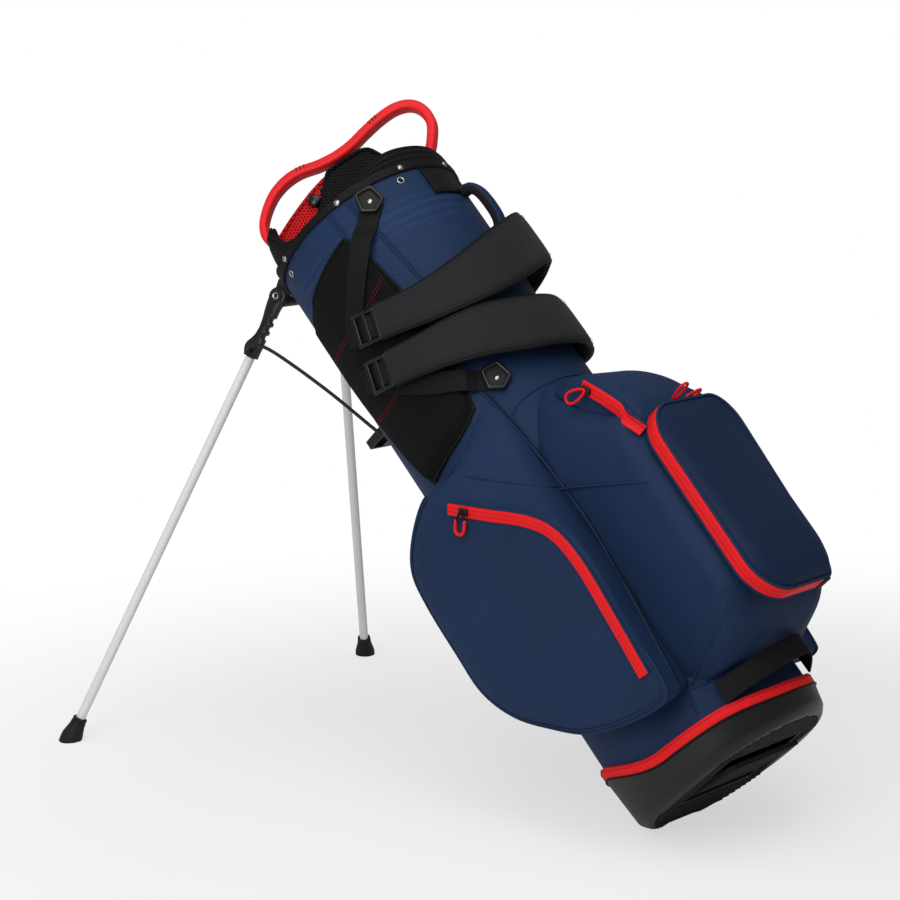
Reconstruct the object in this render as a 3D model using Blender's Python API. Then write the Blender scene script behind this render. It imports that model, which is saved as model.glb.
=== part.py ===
"""Golf stand bag leaning on its two folding legs, as separate pieces.

The trunk is modelled upright in its own frame (x to the back, y to the far side, z up the trunk,
origin at the middle of the base) under one empty that carries the lean. World +Z is up, and the
world origin is on the ground under the heel of the base.
"""
import math

import bmesh
import bpy
from mathutils import Matrix, Vector

# Lean of the trunk, and the heel line of the base that touches the ground
LEAN = math.radians(44.4)
HEEL_REACH = 0.1257
HEEL_HEIGHT = 0.017

# Fits
GAP = 0.0003
SOFT_GAP = 0.0008

# Trunk and rim
TRUNK_RADIUS = 0.128
TRUNK_WALL = 0.0035
RIM_LOW = 0.834
RIM_RISE = 0.026
RIM_DIP_ANGLE = 40.0
RIM_DIP_WIDTH = 40.0
BINDING_FOOT = RIM_LOW - 0.009
BINDING_THICKNESS = 0.0035
COLLAR_FOOT = RIM_LOW - 0.039
COLLAR_THICKNESS = 0.0157
LOBE_RISE = 0.032
LOBE_WIDTH = 14.0
ROUND_STEPS = 48
PATCH_STEP = 4.0

# Base
BOOT_FLOOR = 0.026
BOOT_RADIUS = TRUNK_RADIUS + 0.0055
BOOT_SOLE_RADIUS = TRUNK_RADIUS - 0.010
BOOT_SOLE_ROUND = 0.010
BOOT_EDGE = 0.043
BOOT_BACK_DROP = 0.008
BOOT_FRONT_RISE = 0.037
BAND_WIDTH = 0.014
BAND_THICKNESS = 0.0062

# Actuator plate under the base
PLATE_LENGTH = 0.082
PLATE_WIDTH = 0.130
PLATE_THICKNESS = 0.006
PLATE_HINGE_X = -0.032
PLATE_HINGE_Z = 0.0045
PLATE_DROP = math.radians(8.0)
PLATE_CLEARANCE = 0.004
PLATE_PIVOT_DEPTH = 0.004

# Mouth: handle and dividers share a plane turned about the trunk axis
MOUTH_ANGLE = 142.5
HANDLE_THICKNESS = 0.0155
HANDLE_WIDTH = 0.020
HANDLE_SEAT = RIM_LOW + 0.110
DIVIDER_THICKNESS = 0.005
DIVIDER_TOP = RIM_LOW - 0.044
STAY_RADIUS = 0.003
STAY_ANGLES = {"near": 100.0, "far": -80.0}

# Hip pad, straps and grab handle
HIP_PAD_THICKNESS = 0.010
WEB_THICKNESS = 0.0024
WEB_WIDTH = 0.027
WEB_LOW = 0.0022
WEB_HIGH = HIP_PAD_THICKNESS + 0.0032
WEB_MIDDLE = (WEB_LOW + WEB_HIGH) / 2
PAD_THICKNESS = 0.012
PAD_WIDTH = 0.066
PAD_END_WIDTH = 0.046
BUCKLE_LENGTH = 0.033
BUCKLE_WIDTH = 0.042
BUCKLE_THICKNESS = 0.006
BUCKLE_BAR = 0.005
ANCHOR_WIDTH = 0.034
ANCHOR_HEIGHT = 0.036
ANCHOR_THICKNESS = 0.003
GRAB_RADIUS = 0.007
GRAB_ANGLE = -14.0
PATCH_THICKNESS = 0.002
PATCH_HEIGHT = 0.041

# Pockets
SIDE_POCKET_DEPTH = 0.048
SIDE_PIPING_DEPTH = 0.034
BALL_WIDTH = 0.190
BALL_FOOT = 0.105
BALL_TOP = 0.362
BALL_CORNER = 0.050
BALL_DEPTH = 0.036
BALL_SAG = 0.007
BLOCK_DEPTH = 0.0974
VALUABLES_FAR_CORNER = 0.055

# Zips
ZIP_WIDTH = 0.014
ZIP_THICKNESS = 0.003
SLIDER_LENGTH = 0.013
SLIDER_WIDTH = 0.009
SLIDER_THICKNESS = 0.004
PULL_RADIUS = 0.0016
PULL_LENGTH = 0.026
PULL_WIDTH = 0.014

# Stand
PIVOT_STANDOFF = 0.013
PIVOT_SPREAD = 0.056
PIVOT_HEIGHT = RIM_LOW + 0.012
LEG_SPLAY = math.radians(23.19)
LEG_OPEN = math.radians(62.9)
FOOT_OVERHANG = 0.016
FOOT_GRIP = 0.024
LEG_RADIUS = 0.007
LEG_WALL = 0.0012
PIN_RADIUS = 0.004
PIN_HEAD_RADIUS = 0.008
PIN_HEAD = 0.0025
EYE_RADIUS = 0.012
EYE_WIDTH = 0.012
KNUCKLE_LENGTH = 0.087
KNUCKLE_HEIGHT = 0.017
SPIGOT_LENGTH = 0.020
LINK_ARM = 0.078
LINK_OFFSET = 0.020
LINK_RADIUS = 0.0023
LINK_BOSS_RADIUS = 0.007
LINK_HOOK = 0.009
LINK_BEND = 0.0042
LINK_REACH = 0.0878
LINK_TAIL = 0.004
HEAD_BELOW = 0.024
HEAD_ABOVE = 0.026
HEAD_REACH = 0.012
FOOT_RADIUS = 0.0155
FOOT_NECK = 0.0105
FOOT_LENGTH = 0.042
KEEPER_FOOT = 0.608
KEEPER_HEIGHT = 0.012
KEEPER_DEPTH = 0.034
KEEPER_WIDTH = 0.089
KEEPER_LIP = 0.0025
KEEPER_SLOT = 0.0185
KEEPER_SLOT_SPREAD = 0.0335
PUSH_ROD_RADIUS = 0.0025
PUSH_ROD_DROP = 0.030
PUSH_ROD_FOOT = 0.170
PUSH_BAR = 0.072
SLEEVE_TOP = 0.505
SLEEVE_FOOT = 0.112
SLEEVE_WIDTH = 0.026
SLEEVE_DEPTH = 0.0125

SIDES = {"near": -1, "far": 1}

# Linear colour, roughness and metallic value of each finish
FINISHES = {
    "navy_cloth": ((0.014, 0.028, 0.078), 0.75, 0.0),
    "red_cloth": ((0.80, 0.018, 0.022), 0.6, 0.0),
    "red_moulding": ((0.84, 0.016, 0.020), 0.4, 0.0),
    "black_cloth": ((0.008, 0.008, 0.009), 0.85, 0.0),
    "black_moulding": ((0.010, 0.010, 0.011), 0.45, 0.0),
    "black_rubber": ((0.009, 0.009, 0.009), 0.7, 0.0),
    "white_lacquer": ((0.80, 0.82, 0.82), 0.25, 0.0),
    "black_steel": ((0.012, 0.012, 0.012), 0.4, 0.8),
    "bright_steel": ((0.60, 0.60, 0.62), 0.3, 1.0),
    "grey_lining": ((0.06, 0.06, 0.065), 0.8, 0.0),
}


# Scene and object helpers

def clear_scene():
    """Remove every object, so that the model starts empty."""
    for item in list(bpy.data.objects):
        bpy.data.objects.remove(item, do_unlink=True)


def make_collection(name):
    """A new collection under the scene's own."""
    collection = bpy.data.collections.new(name)
    bpy.context.scene.collection.children.link(collection)
    return collection


def make_finish(name):
    """A plain finish from the table above."""
    colour, roughness, metallic = FINISHES[name]
    material = bpy.data.materials.new(name)
    material.use_nodes = True
    shader = material.node_tree.nodes["Principled BSDF"]
    shader.inputs["Base Color"].default_value = (*colour, 1.0)
    shader.inputs["Roughness"].default_value = roughness
    shader.inputs["Metallic"].default_value = metallic
    return material


class Workshop:
    """Holds the collections, the finishes and the empties of one build."""

    def __init__(self):
        self.parts = make_collection("golf_stand_bag")
        self.cutters = make_collection("cutters")
        self.finishes = {name: make_finish(name) for name in FINISHES}

    def empty(self, name, matrix, parent=None):
        """An empty that carries a frame or a joint axis."""
        item = bpy.data.objects.new(name, None)
        self.parts.objects.link(item)
        item.empty_display_size = 0.05
        item.parent = parent
        item.matrix_local = matrix
        return item

    def piece(self, name, shape, finish, parent):
        """A named part from a bmesh, under its parent frame."""
        mesh = bpy.data.meshes.new(name)
        shape.to_mesh(mesh)
        shape.free()
        mesh.shade_smooth()
        mesh.set_sharp_from_angle(angle=math.radians(35))
        item = bpy.data.objects.new(name, mesh)
        self.parts.objects.link(item)
        item.data.materials.append(self.finishes[finish])
        item.parent = parent
        return item

    def tool(self, name, shape, parent=None):
        """A cutter or an added body for a Boolean, left out of the model."""
        mesh = bpy.data.meshes.new(name)
        shape.to_mesh(mesh)
        shape.free()
        item = bpy.data.objects.new(name, mesh)
        self.cutters.objects.link(item)
        item.parent = parent
        item.hide_render = True
        item.display_type = "WIRE"
        return item

    def wire(self, name, points, radius, finish, parent, sides=2):
        """A round tube along a row of points."""
        curve = bpy.data.curves.new(name, "CURVE")
        curve.dimensions = "3D"
        curve.bevel_depth = radius
        curve.bevel_resolution = sides
        curve.use_fill_caps = True
        curve.render_resolution_u = 0
        spline = curve.splines.new("POLY")
        spline.points.add(len(points) - 1)
        for slot, point in zip(spline.points, points):
            slot.co = (*point, 1.0)
        item = bpy.data.objects.new(name, curve)
        self.parts.objects.link(item)
        curve.materials.append(self.finishes[finish])
        item.parent = parent
        return item


def boolean(target, tool, operation="DIFFERENCE"):
    """Cut a tool out of a part, or join it on."""
    modifier = target.modifiers.new(f"{operation.lower()}_{tool.name}", "BOOLEAN")
    modifier.operation = operation
    modifier.solver = "EXACT"
    modifier.object = tool


# Shape helpers

def polar(radius, angle, height):
    """A point of the trunk frame; the angle runs from the back to the near side, in degrees."""
    turn = math.radians(angle)
    return Vector((radius * math.cos(turn), -radius * math.sin(turn), height))


def smooth_step(value, low, high):
    """Ease from 0 at low to 1 at high."""
    share = min(max((value - low) / (high - low), 0.0), 1.0)
    return share * share * (3.0 - 2.0 * share)


def rim_height(angle):
    """Top edge of the rim, which dips on both flanks."""
    offset = (abs(angle) - RIM_DIP_ANGLE) / RIM_DIP_WIDTH
    return RIM_LOW + RIM_RISE * (1.0 - math.exp(-offset * offset))


def collar_height(angle):
    """Top of the mouth collar: the rim with two lobes that take the handle's ends."""
    height = rim_height(angle)
    for lobe in (MOUTH_ANGLE, MOUTH_ANGLE - 180.0):
        offset = abs(angle - lobe) % 360.0
        offset = min(offset, 360.0 - offset) / LOBE_WIDTH
        height += LOBE_RISE / (1.0 + offset ** 4)
    return height


def boot_height(angle):
    """Top edge of the boot, higher at the front."""
    turn = abs(angle)
    drop = BOOT_BACK_DROP * (1.0 - smooth_step(turn, 5.0, 50.0))
    return BOOT_EDGE + BOOT_FRONT_RISE * smooth_step(turn, 78.0, 135.0) - drop


def round_angles():
    """Angles of the rings about the trunk."""
    return [-180.0 + 360.0 * step / ROUND_STEPS for step in range(ROUND_STEPS)]


def trunk_ring(radius, height):
    """One ring about the trunk axis; the height is a number or a rule of the angle."""
    rule = height if callable(height) else (lambda angle: height)
    return [polar(radius, angle, rule(angle)) for angle in round_angles()]


def loft(rings, loop=False):
    """Skin a row of rings; a loop joins the last to the first, otherwise both ends are capped."""
    shape = bmesh.new()
    rows = [[shape.verts.new(point) for point in ring] for ring in rings]
    pairs = list(zip(rows, rows[1:]))
    if loop:
        pairs.append((rows[-1], rows[0]))
    for low, high in pairs:
        for step, corner in enumerate(low):
            following = (step + 1) % len(low)
            shape.faces.new((corner, low[following], high[following], high[step]))
    if not loop:
        shape.faces.new(rows[0])
        shape.faces.new(rows[-1])
    bmesh.ops.recalc_face_normals(shape, faces=shape.faces)
    return shape


def smooth_route(points, steps, closed=False):
    """Points of a smooth curve through the given ones, with a number of steps between each two."""
    points = [Vector(point) for point in points]
    count = len(points)
    spans = count if closed else count - 1
    route = []
    for span in range(spans):
        if closed:
            before, start, end, after = (points[(span + shift) % count] for shift in (-1, 0, 1, 2))
        else:
            start, end = points[span], points[span + 1]
            before = points[span - 1] if span else start * 2 - end
            after = points[span + 2] if span + 2 < count else end * 2 - start
        for step in range(steps):
            t = step / steps
            bend = (before * 2 - start * 5 + end * 4 - after) * t * t
            twist = (start * 3 - before - end * 3 + after) * t ** 3
            route.append((start * 2 + (end - before) * t + bend + twist) * 0.5)
    if not closed:
        route.append(points[-1])
    return route


def directions(route):
    """Unit direction of travel at each point of an open route."""
    ends = [route[0]] + list(route) + [route[-1]]
    return [(ends[step + 2] - ends[step]).normalized() for step in range(len(route))]


def ribbon(route, normals, widths, inner, outer):
    """A flat band along a route, from inner to outer along its normals."""
    rings = []
    for point, along, normal, width in zip(route, directions(route), normals, widths):
        across = normal.cross(along).normalized() * (width / 2)
        rings.append([point + normal * inner - across, point + normal * inner + across,
                      point + normal * outer + across, point + normal * outer - across])
    return loft(rings)


def block(size, centre):
    """A rectangular block."""
    shape = bmesh.new()
    place = Matrix.Translation(centre) @ Matrix.Diagonal((*size, 1.0))
    bmesh.ops.create_cube(shape, size=1.0, matrix=place)
    return shape


def cylinder(radius, start, end, sides=24):
    """A round bar between two points."""
    start, end = Vector(start), Vector(end)
    axis = end - start
    turn = axis.to_track_quat("Z", "Y").to_matrix().to_4x4()
    shape = bmesh.new()
    bmesh.ops.create_cone(shape, cap_ends=True, segments=sides, radius1=radius, radius2=radius,
                          depth=axis.length, matrix=Matrix.Translation((start + end) / 2) @ turn)
    return shape


def prism(outline, axis_u, axis_v, low, high):
    """A flat outline in the plane of two axes, extruded between two heights along their normal."""
    normal = axis_u.cross(axis_v)
    rings = [[axis_u * u + axis_v * v + normal * level for u, v in outline] for level in (low, high)]
    return loft(rings)


def shell_patch(columns, inner, outer):
    """A curved plate on the trunk, from columns of (angle, low height, high height)."""
    rings = []
    fine = [Vector(columns[0])]
    for start, end in zip(columns, columns[1:]):
        parts = max(1, math.ceil(abs(end[0] - start[0]) / PATCH_STEP))
        fine += [Vector(start).lerp(Vector(end), (part + 1) / parts) for part in range(parts)]
    for angle, low, high in fine:
        rings.append([polar(inner, angle, low), polar(inner, angle, high),
                      polar(outer, angle, high), polar(outer, angle, low)])
    return loft(rings)


def lean_matrix():
    """Frame of the leaning trunk, with the heel line on the world origin."""
    turn = Matrix.Rotation(-LEAN, 4, "Y")
    heel = turn @ Vector((-HEEL_REACH, 0.0, HEEL_HEIGHT))
    return Matrix.Translation(-heel) @ turn


def ground_tool(shop):
    """Everything below the ground, for flat contact faces."""
    return shop.tool("below_ground", block((4.0, 4.0, 0.4), Vector((0.0, 0.0, -0.2))))


# Base, trunk and mouth

def build_base(shop, bag, ground):
    """Moulded boot with its heel facet, the trim band and the actuator plate's recess."""
    seat = TRUNK_RADIUS + GAP
    rings = [
        trunk_ring(BOOT_SOLE_RADIUS, 0.0),
        trunk_ring(BOOT_SOLE_RADIUS + BOOT_SOLE_ROUND, BOOT_SOLE_ROUND),
        trunk_ring(BOOT_RADIUS, boot_height),
        trunk_ring(seat, boot_height),
        trunk_ring(seat, BOOT_FLOOR),
    ]
    boot = shop.piece("base_boot", loft(rings), "black_moulding", bag)
    recess_length = PLATE_LENGTH + 2 * PLATE_CLEARANCE + PLATE_THICKNESS
    recess_top = PLATE_HINGE_Z + PLATE_THICKNESS / 2 + PLATE_CLEARANCE / 2
    recess_middle = PLATE_HINGE_X + PLATE_LENGTH / 2
    recess = block((recess_length, PLATE_WIDTH + 2 * PLATE_CLEARANCE, 2 * recess_top),
                   Vector((recess_middle, 0.0, 0.0)))
    boolean(boot, shop.tool("plate_recess", recess, bag))
    pivot_end = plate_pivot_end() + GAP
    pivot_bore = cylinder(PLATE_THICKNESS / 2 + GAP, (PLATE_HINGE_X, -pivot_end, PLATE_HINGE_Z),
                          (PLATE_HINGE_X, pivot_end, PLATE_HINGE_Z), sides=16)
    boolean(boot, shop.tool("plate_pivot_bore", pivot_bore, bag))
    boolean(boot, ground)
    band = [
        trunk_ring(seat, lambda angle: boot_height(angle) + GAP),
        trunk_ring(seat + BAND_THICKNESS, lambda angle: boot_height(angle) + GAP),
        trunk_ring(seat + BAND_THICKNESS, lambda angle: boot_height(angle) + BAND_WIDTH),
        trunk_ring(seat, lambda angle: boot_height(angle) + BAND_WIDTH),
    ]
    shop.piece("base_trim_band", loft(band, loop=True), "red_cloth", bag)


def plate_pivot_end():
    """Half the length of the actuator plate's barrel, whose ends turn in the boot's walls."""
    return PLATE_WIDTH / 2 + PLATE_CLEARANCE + PLATE_PIVOT_DEPTH


def build_plate(shop, bag):
    """Actuator plate that drops out of the base and swings up as the legs fold."""
    place = Matrix.Translation((PLATE_HINGE_X, 0.0, PLATE_HINGE_Z)) @ Matrix.Rotation(PLATE_DROP, 4, "Y")
    hinge = shop.empty("actuator_plate_hinge", place, bag)
    plate = shop.piece("actuator_plate", block((PLATE_LENGTH, PLATE_WIDTH, PLATE_THICKNESS),
                                               Vector((PLATE_LENGTH / 2, 0.0, 0.0))),
                       "black_rubber", hinge)
    end = plate_pivot_end()
    barrel = cylinder(PLATE_THICKNESS / 2, (0.0, -end, 0.0), (0.0, end, 0.0), sides=16)
    boolean(plate, shop.tool("plate_barrel", barrel, hinge), "UNION")


TRUNK_PANELS = {"back": (-52.5, 52.5), "near": (52.5, 180.0), "far": (-180.0, -52.5)}


def build_trunk(shop, bag):
    """Trunk of three stiffened cloth panels, its two stays, and the rim's binding and collar."""
    inner = TRUNK_RADIUS - TRUNK_WALL
    foot = BOOT_FLOOR + GAP
    for name, (start, end) in TRUNK_PANELS.items():
        steps = round((end - start) / 360.0 * ROUND_STEPS)
        angles = [start + (end - start) * step / steps for step in range(steps + 1)]
        seam = math.degrees(GAP / 2 / inner)
        angles[0] += seam
        angles[-1] -= seam
        panel = [[polar(inner, angle, foot), polar(inner, angle, rim_height(angle)),
                  polar(TRUNK_RADIUS, angle, rim_height(angle)), polar(TRUNK_RADIUS, angle, foot)]
                 for angle in angles]
        shop.piece(f"trunk_panel_{name}", loft(panel), "navy_cloth", bag)
    bound = TRUNK_RADIUS + GAP
    binding = [trunk_ring(bound, BINDING_FOOT), trunk_ring(bound + BINDING_THICKNESS, BINDING_FOOT),
               trunk_ring(bound + BINDING_THICKNESS, rim_height), trunk_ring(bound, rim_height)]
    shop.piece("cuff_binding", loft(binding, loop=True), "black_cloth", bag)
    mouth = inner - GAP
    collar = [trunk_ring(mouth, COLLAR_FOOT), trunk_ring(mouth, collar_height),
              trunk_ring(mouth - COLLAR_THICKNESS, collar_height),
              trunk_ring(mouth - COLLAR_THICKNESS, COLLAR_FOOT)]
    shop.piece("mouth_collar", loft(collar, loop=True), "black_moulding", bag)
    stay_line = inner - STAY_RADIUS - GAP
    for side, angle in STAY_ANGLES.items():
        ends = (polar(stay_line, angle, foot + GAP), polar(stay_line, angle, COLLAR_FOOT - GAP))
        shop.piece(f"stay_rod_{side}", cylinder(STAY_RADIUS, *ends, sides=12), "bright_steel", bag)


def build_mouth(shop, bag):
    """Wave-shaped carry handle across the mouth, over a cross of club dividers."""
    mouth = shop.empty("mouth_frame", Matrix.Rotation(math.radians(-MOUTH_ANGLE), 4, "Z"), bag)
    inner = TRUNK_RADIUS - TRUNK_WALL - GAP
    seat = inner - COLLAR_THICKNESS / 2
    front = collar_height(MOUTH_ANGLE) + SOFT_GAP
    rear = collar_height(MOUTH_ANGLE - 180.0) + SOFT_GAP
    wave = [(seat, front), (seat, front + 0.005), (seat, front + 0.014), (seat - 0.009, front + 0.030),
            (seat - 0.034, HANDLE_SEAT + 0.007), (seat - 0.072, HANDLE_SEAT + 0.011),
            (0.010, HANDLE_SEAT + 0.003), (-0.030, HANDLE_SEAT), (-0.055, HANDLE_SEAT + 0.003),
            (-seat + 0.020, HANDLE_SEAT + 0.010), (-seat - 0.012, HANDLE_SEAT + 0.005),
            (-seat - 0.027, HANDLE_SEAT - 0.016), (-seat - 0.021, rear + 0.030),
            (-seat - 0.006, rear + 0.017), (-seat, rear + 0.009), (-seat, rear + 0.004), (-seat, rear)]
    route = smooth_route([(u, 0.0, z) for u, z in wave], 3)
    half, wide = HANDLE_THICKNESS / 2, HANDLE_WIDTH / 2
    rings = []
    for point, along in zip(route, directions(route)):
        out = along.cross(Vector((0.0, 1.0, 0.0))).normalized()
        section = [(half, 0.55 * wide), (0.45 * half, wide), (-0.45 * half, wide), (-half, 0.55 * wide)]
        section += [(rise, -turn) for rise, turn in reversed(section)]
        rings.append([point + out * rise + Vector((0.0, turn, 0.0)) for rise, turn in section])
    shop.piece("top_handle", loft(rings), "red_moulding", mouth)

    foot = BOOT_FLOOR + 2 * GAP
    throat = inner - COLLAR_THICKNESS - GAP
    crest = HANDLE_SEAT - HANDLE_THICKNESS / 2 - GAP
    shoulder = RIM_LOW + RIM_RISE
    half = DIVIDER_THICKNESS / 2
    lap = half + GAP
    middle = (foot + DIVIDER_TOP) / 2
    wall = [(-inner, foot), (-lap, foot), (-lap, middle + GAP / 2), (lap, middle + GAP / 2), (lap, foot),
            (inner, foot), (inner, DIVIDER_TOP), (throat, DIVIDER_TOP),
            (throat, RIM_LOW), (0.74 * throat, shoulder), (0.32 * throat, crest - 0.028),
            (0.002, crest - 0.003),
            (-0.020, crest - 0.001), (-0.44 * throat, crest - 0.001), (-0.69 * throat, crest - 0.032),
            (-throat, RIM_LOW), (-throat, DIVIDER_TOP), (-inner, DIVIDER_TOP)]
    u, v, z = Vector((1, 0, 0)), Vector((0, 1, 0)), Vector((0, 0, 1))
    cross = [(-inner, foot), (inner, foot), (inner, DIVIDER_TOP), (lap, DIVIDER_TOP),
             (lap, middle - GAP / 2), (-lap, middle - GAP / 2), (-lap, DIVIDER_TOP), (-inner, DIVIDER_TOP)]
    reach = 2 * RIM_LOW
    rim = shop.tool("divider_rim", loft([trunk_ring(inner - GAP, 0.0), trunk_ring(inner - GAP, reach)]), bag)
    for name, outline, across in (("main", wall, u), ("cross", cross, v)):
        shape = prism(outline, across, z, -half, half)
        divider = shop.piece(f"club_divider_{name}", shape, "grey_lining", mouth)
        boolean(divider, rim, "INTERSECT")


# Pockets

BLOCK_STATIONS = [
    # height, half width, reach beyond the trunk
    (0.083, 0.080, 0.022), (0.105, 0.095, 0.062), (0.135, 0.103, 0.087), (0.165, 0.105, BLOCK_DEPTH),
    (0.300, 0.105, BLOCK_DEPTH), (0.362, 0.103, BLOCK_DEPTH), (0.395, 0.098, 0.062),
    (0.430, 0.085, 0.037), (0.465, 0.068, 0.014), (0.485, 0.050, 0.002),
]


def rounded_section(near, far, half, corner, height, far_corner=0.0):
    """A rectangle with rounded outer corners, from near to far along x; the far side's may be larger."""
    points = [Vector((near, half, height)), Vector((near, -half, height))]
    most = min(half * 0.9, (far - near) * 0.9)
    for turn, side, wanted in ((-90.0, -1, corner), (0.0, 1, max(corner, far_corner))):
        corner = min(wanted, most)
        for step in range(5):
            angle = math.radians(turn + 90.0 * step / 4)
            points.append(Vector((far - corner + corner * math.cos(angle),
                                  side * (half - corner) + corner * math.sin(angle), height)))
    return points


def block_shape(clearance):
    """The back pocket's bulk, grown by a clearance where it cuts its neighbours."""
    rings = []
    for height, half, reach in BLOCK_STATIONS:
        far = TRUNK_RADIUS + reach + clearance
        rings.append(rounded_section(TRUNK_RADIUS * 0.45, far, half + clearance, 0.032, height))
    return loft(rings)


def trunk_tool(shop, bag):
    """The trunk with its clearance, for seating pockets on it."""
    bar = [trunk_ring(TRUNK_RADIUS + GAP, -RIM_LOW), trunk_ring(TRUNK_RADIUS + GAP, 2 * RIM_LOW)]
    return shop.tool("trunk_seat", loft(bar), bag)


def build_back_pockets(shop, bag, seat):
    """Back pocket bulk, the ball pocket on it and the small valuables pocket above."""
    bulk = shop.piece("back_pocket", block_shape(0.0), "navy_cloth", bag)
    boolean(bulk, seat)
    base = TRUNK_RADIUS + BLOCK_DEPTH + GAP
    depths = [(0.0, 1.0, 0.0), (0.56, 1.0, 0.0), (0.74, 0.96, 0.4), (0.89, 0.86, 0.8), (0.97, 0.64, 1.0),
              (1.0, 0.34, 1.0)]
    rings = [ball_ring(base + BALL_DEPTH * depth, scale, 0.0, BALL_SAG * sag) for depth, scale, sag in depths]
    shop.piece("ball_pocket", loft(rings), "navy_cloth", bag)
    zip_low, zip_high = base + 0.005, base + 0.005 + ZIP_WIDTH
    belt = [ball_ring(zip_low, 1.0, GAP), ball_ring(zip_low, 1.0, GAP + ZIP_THICKNESS),
            ball_ring(zip_high, 1.0, GAP + ZIP_THICKNESS), ball_ring(zip_high, 1.0, GAP)]
    shop.piece("zip_ball", loft(belt, loop=True), "red_cloth", bag)
    rings = []
    for height, half, reach in VALUABLES_STATIONS:
        near = TRUNK_RADIUS + block_reach(height) + GAP
        rings.append(rounded_section(near, TRUNK_RADIUS + reach, half, 0.022, height, VALUABLES_FAR_CORNER))
    shop.piece("valuables_pocket", loft(rings), "navy_cloth", bag)


VALUABLES_STATIONS = [
    # height, half width, reach beyond the trunk
    (0.367, 0.070, 0.101), (0.395, 0.074, 0.098), (0.430, 0.073, 0.084),
    (0.465, 0.062, 0.058), (0.480, 0.046, 0.026),
]


VALUABLES_ZIP = [(0.055, 0.444), (0.085, 0.389)]


def block_reach(height):
    """Reach of the back pocket's bulk beyond the trunk at a height."""
    for low, high in zip(BLOCK_STATIONS, BLOCK_STATIONS[1:]):
        if low[0] <= height <= high[0]:
            share = (height - low[0]) / (high[0] - low[0])
            return low[2] + (high[2] - low[2]) * share
    return 0.0


def ball_ring(x, scale, grow, sag=0.0):
    """Outline of the ball pocket at one depth: a rounded upright rectangle, fuller at the foot by its sag."""
    middle = (BALL_FOOT + BALL_TOP) / 2
    tall = BALL_TOP - BALL_FOOT
    half_width = BALL_WIDTH / 2 * scale + grow
    half_height = (BALL_TOP - BALL_FOOT) / 2 * scale + grow
    corner = BALL_CORNER * scale + grow
    points = []
    for turn, side, end in ((0.0, 1, 1), (90.0, -1, 1), (180.0, -1, -1), (270.0, 1, -1)):
        for step in range(6):
            angle = math.radians(turn + 90.0 * step / 5)
            rise = end * (half_height - corner) + corner * math.sin(angle)
            points.append(Vector((x - sag * 2 * rise / tall,
                                  side * (half_width - corner) + corner * math.cos(angle), middle + rise)))
    return points


POCKET_FACE = [
    # edge of a side pocket's outer face, as (x, height)
    (-0.028, 0.456), (-0.075, 0.437), (-0.110, 0.405), (-0.120, 0.360), (-0.122, 0.290),
    (-0.121, 0.235), (-0.100, 0.187), (-0.063, 0.147), (-0.020, 0.112), (0.040, 0.089),
    (0.092, 0.080), (0.109, 0.098), (0.114, 0.180), (0.122, 0.250), (0.116, 0.305),
    (0.094, 0.345), (0.053, 0.385), (0.000, 0.436),
]
POCKET_SEAM = [
    # the same edge where the pocket's sides and roof are sewn to the trunk
    (-0.030, 0.462), (-0.070, 0.440), (-0.095, 0.405), (-0.100, 0.360), (-0.100, 0.290),
    (-0.098, 0.235), (-0.085, 0.190), (-0.055, 0.150), (-0.015, 0.116), (0.040, 0.097),
    (0.080, 0.092), (0.088, 0.106), (0.090, 0.180), (0.092, 0.250), (0.092, 0.330),
    (0.091, 0.420), (0.083, 0.506), (0.020, 0.470),
]
POCKET_MIDDLE = (-0.005, 0.270)
ZIP_ROUTE = [
    # side zip, as (x, height); its first stretch is straight
    (-0.004, 0.421), (0.0395, 0.380), (0.083, 0.339), (0.1045, 0.304), (0.1105, 0.257),
    (0.106, 0.192), (0.1005, 0.133), (0.098, 0.106),
]


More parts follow.
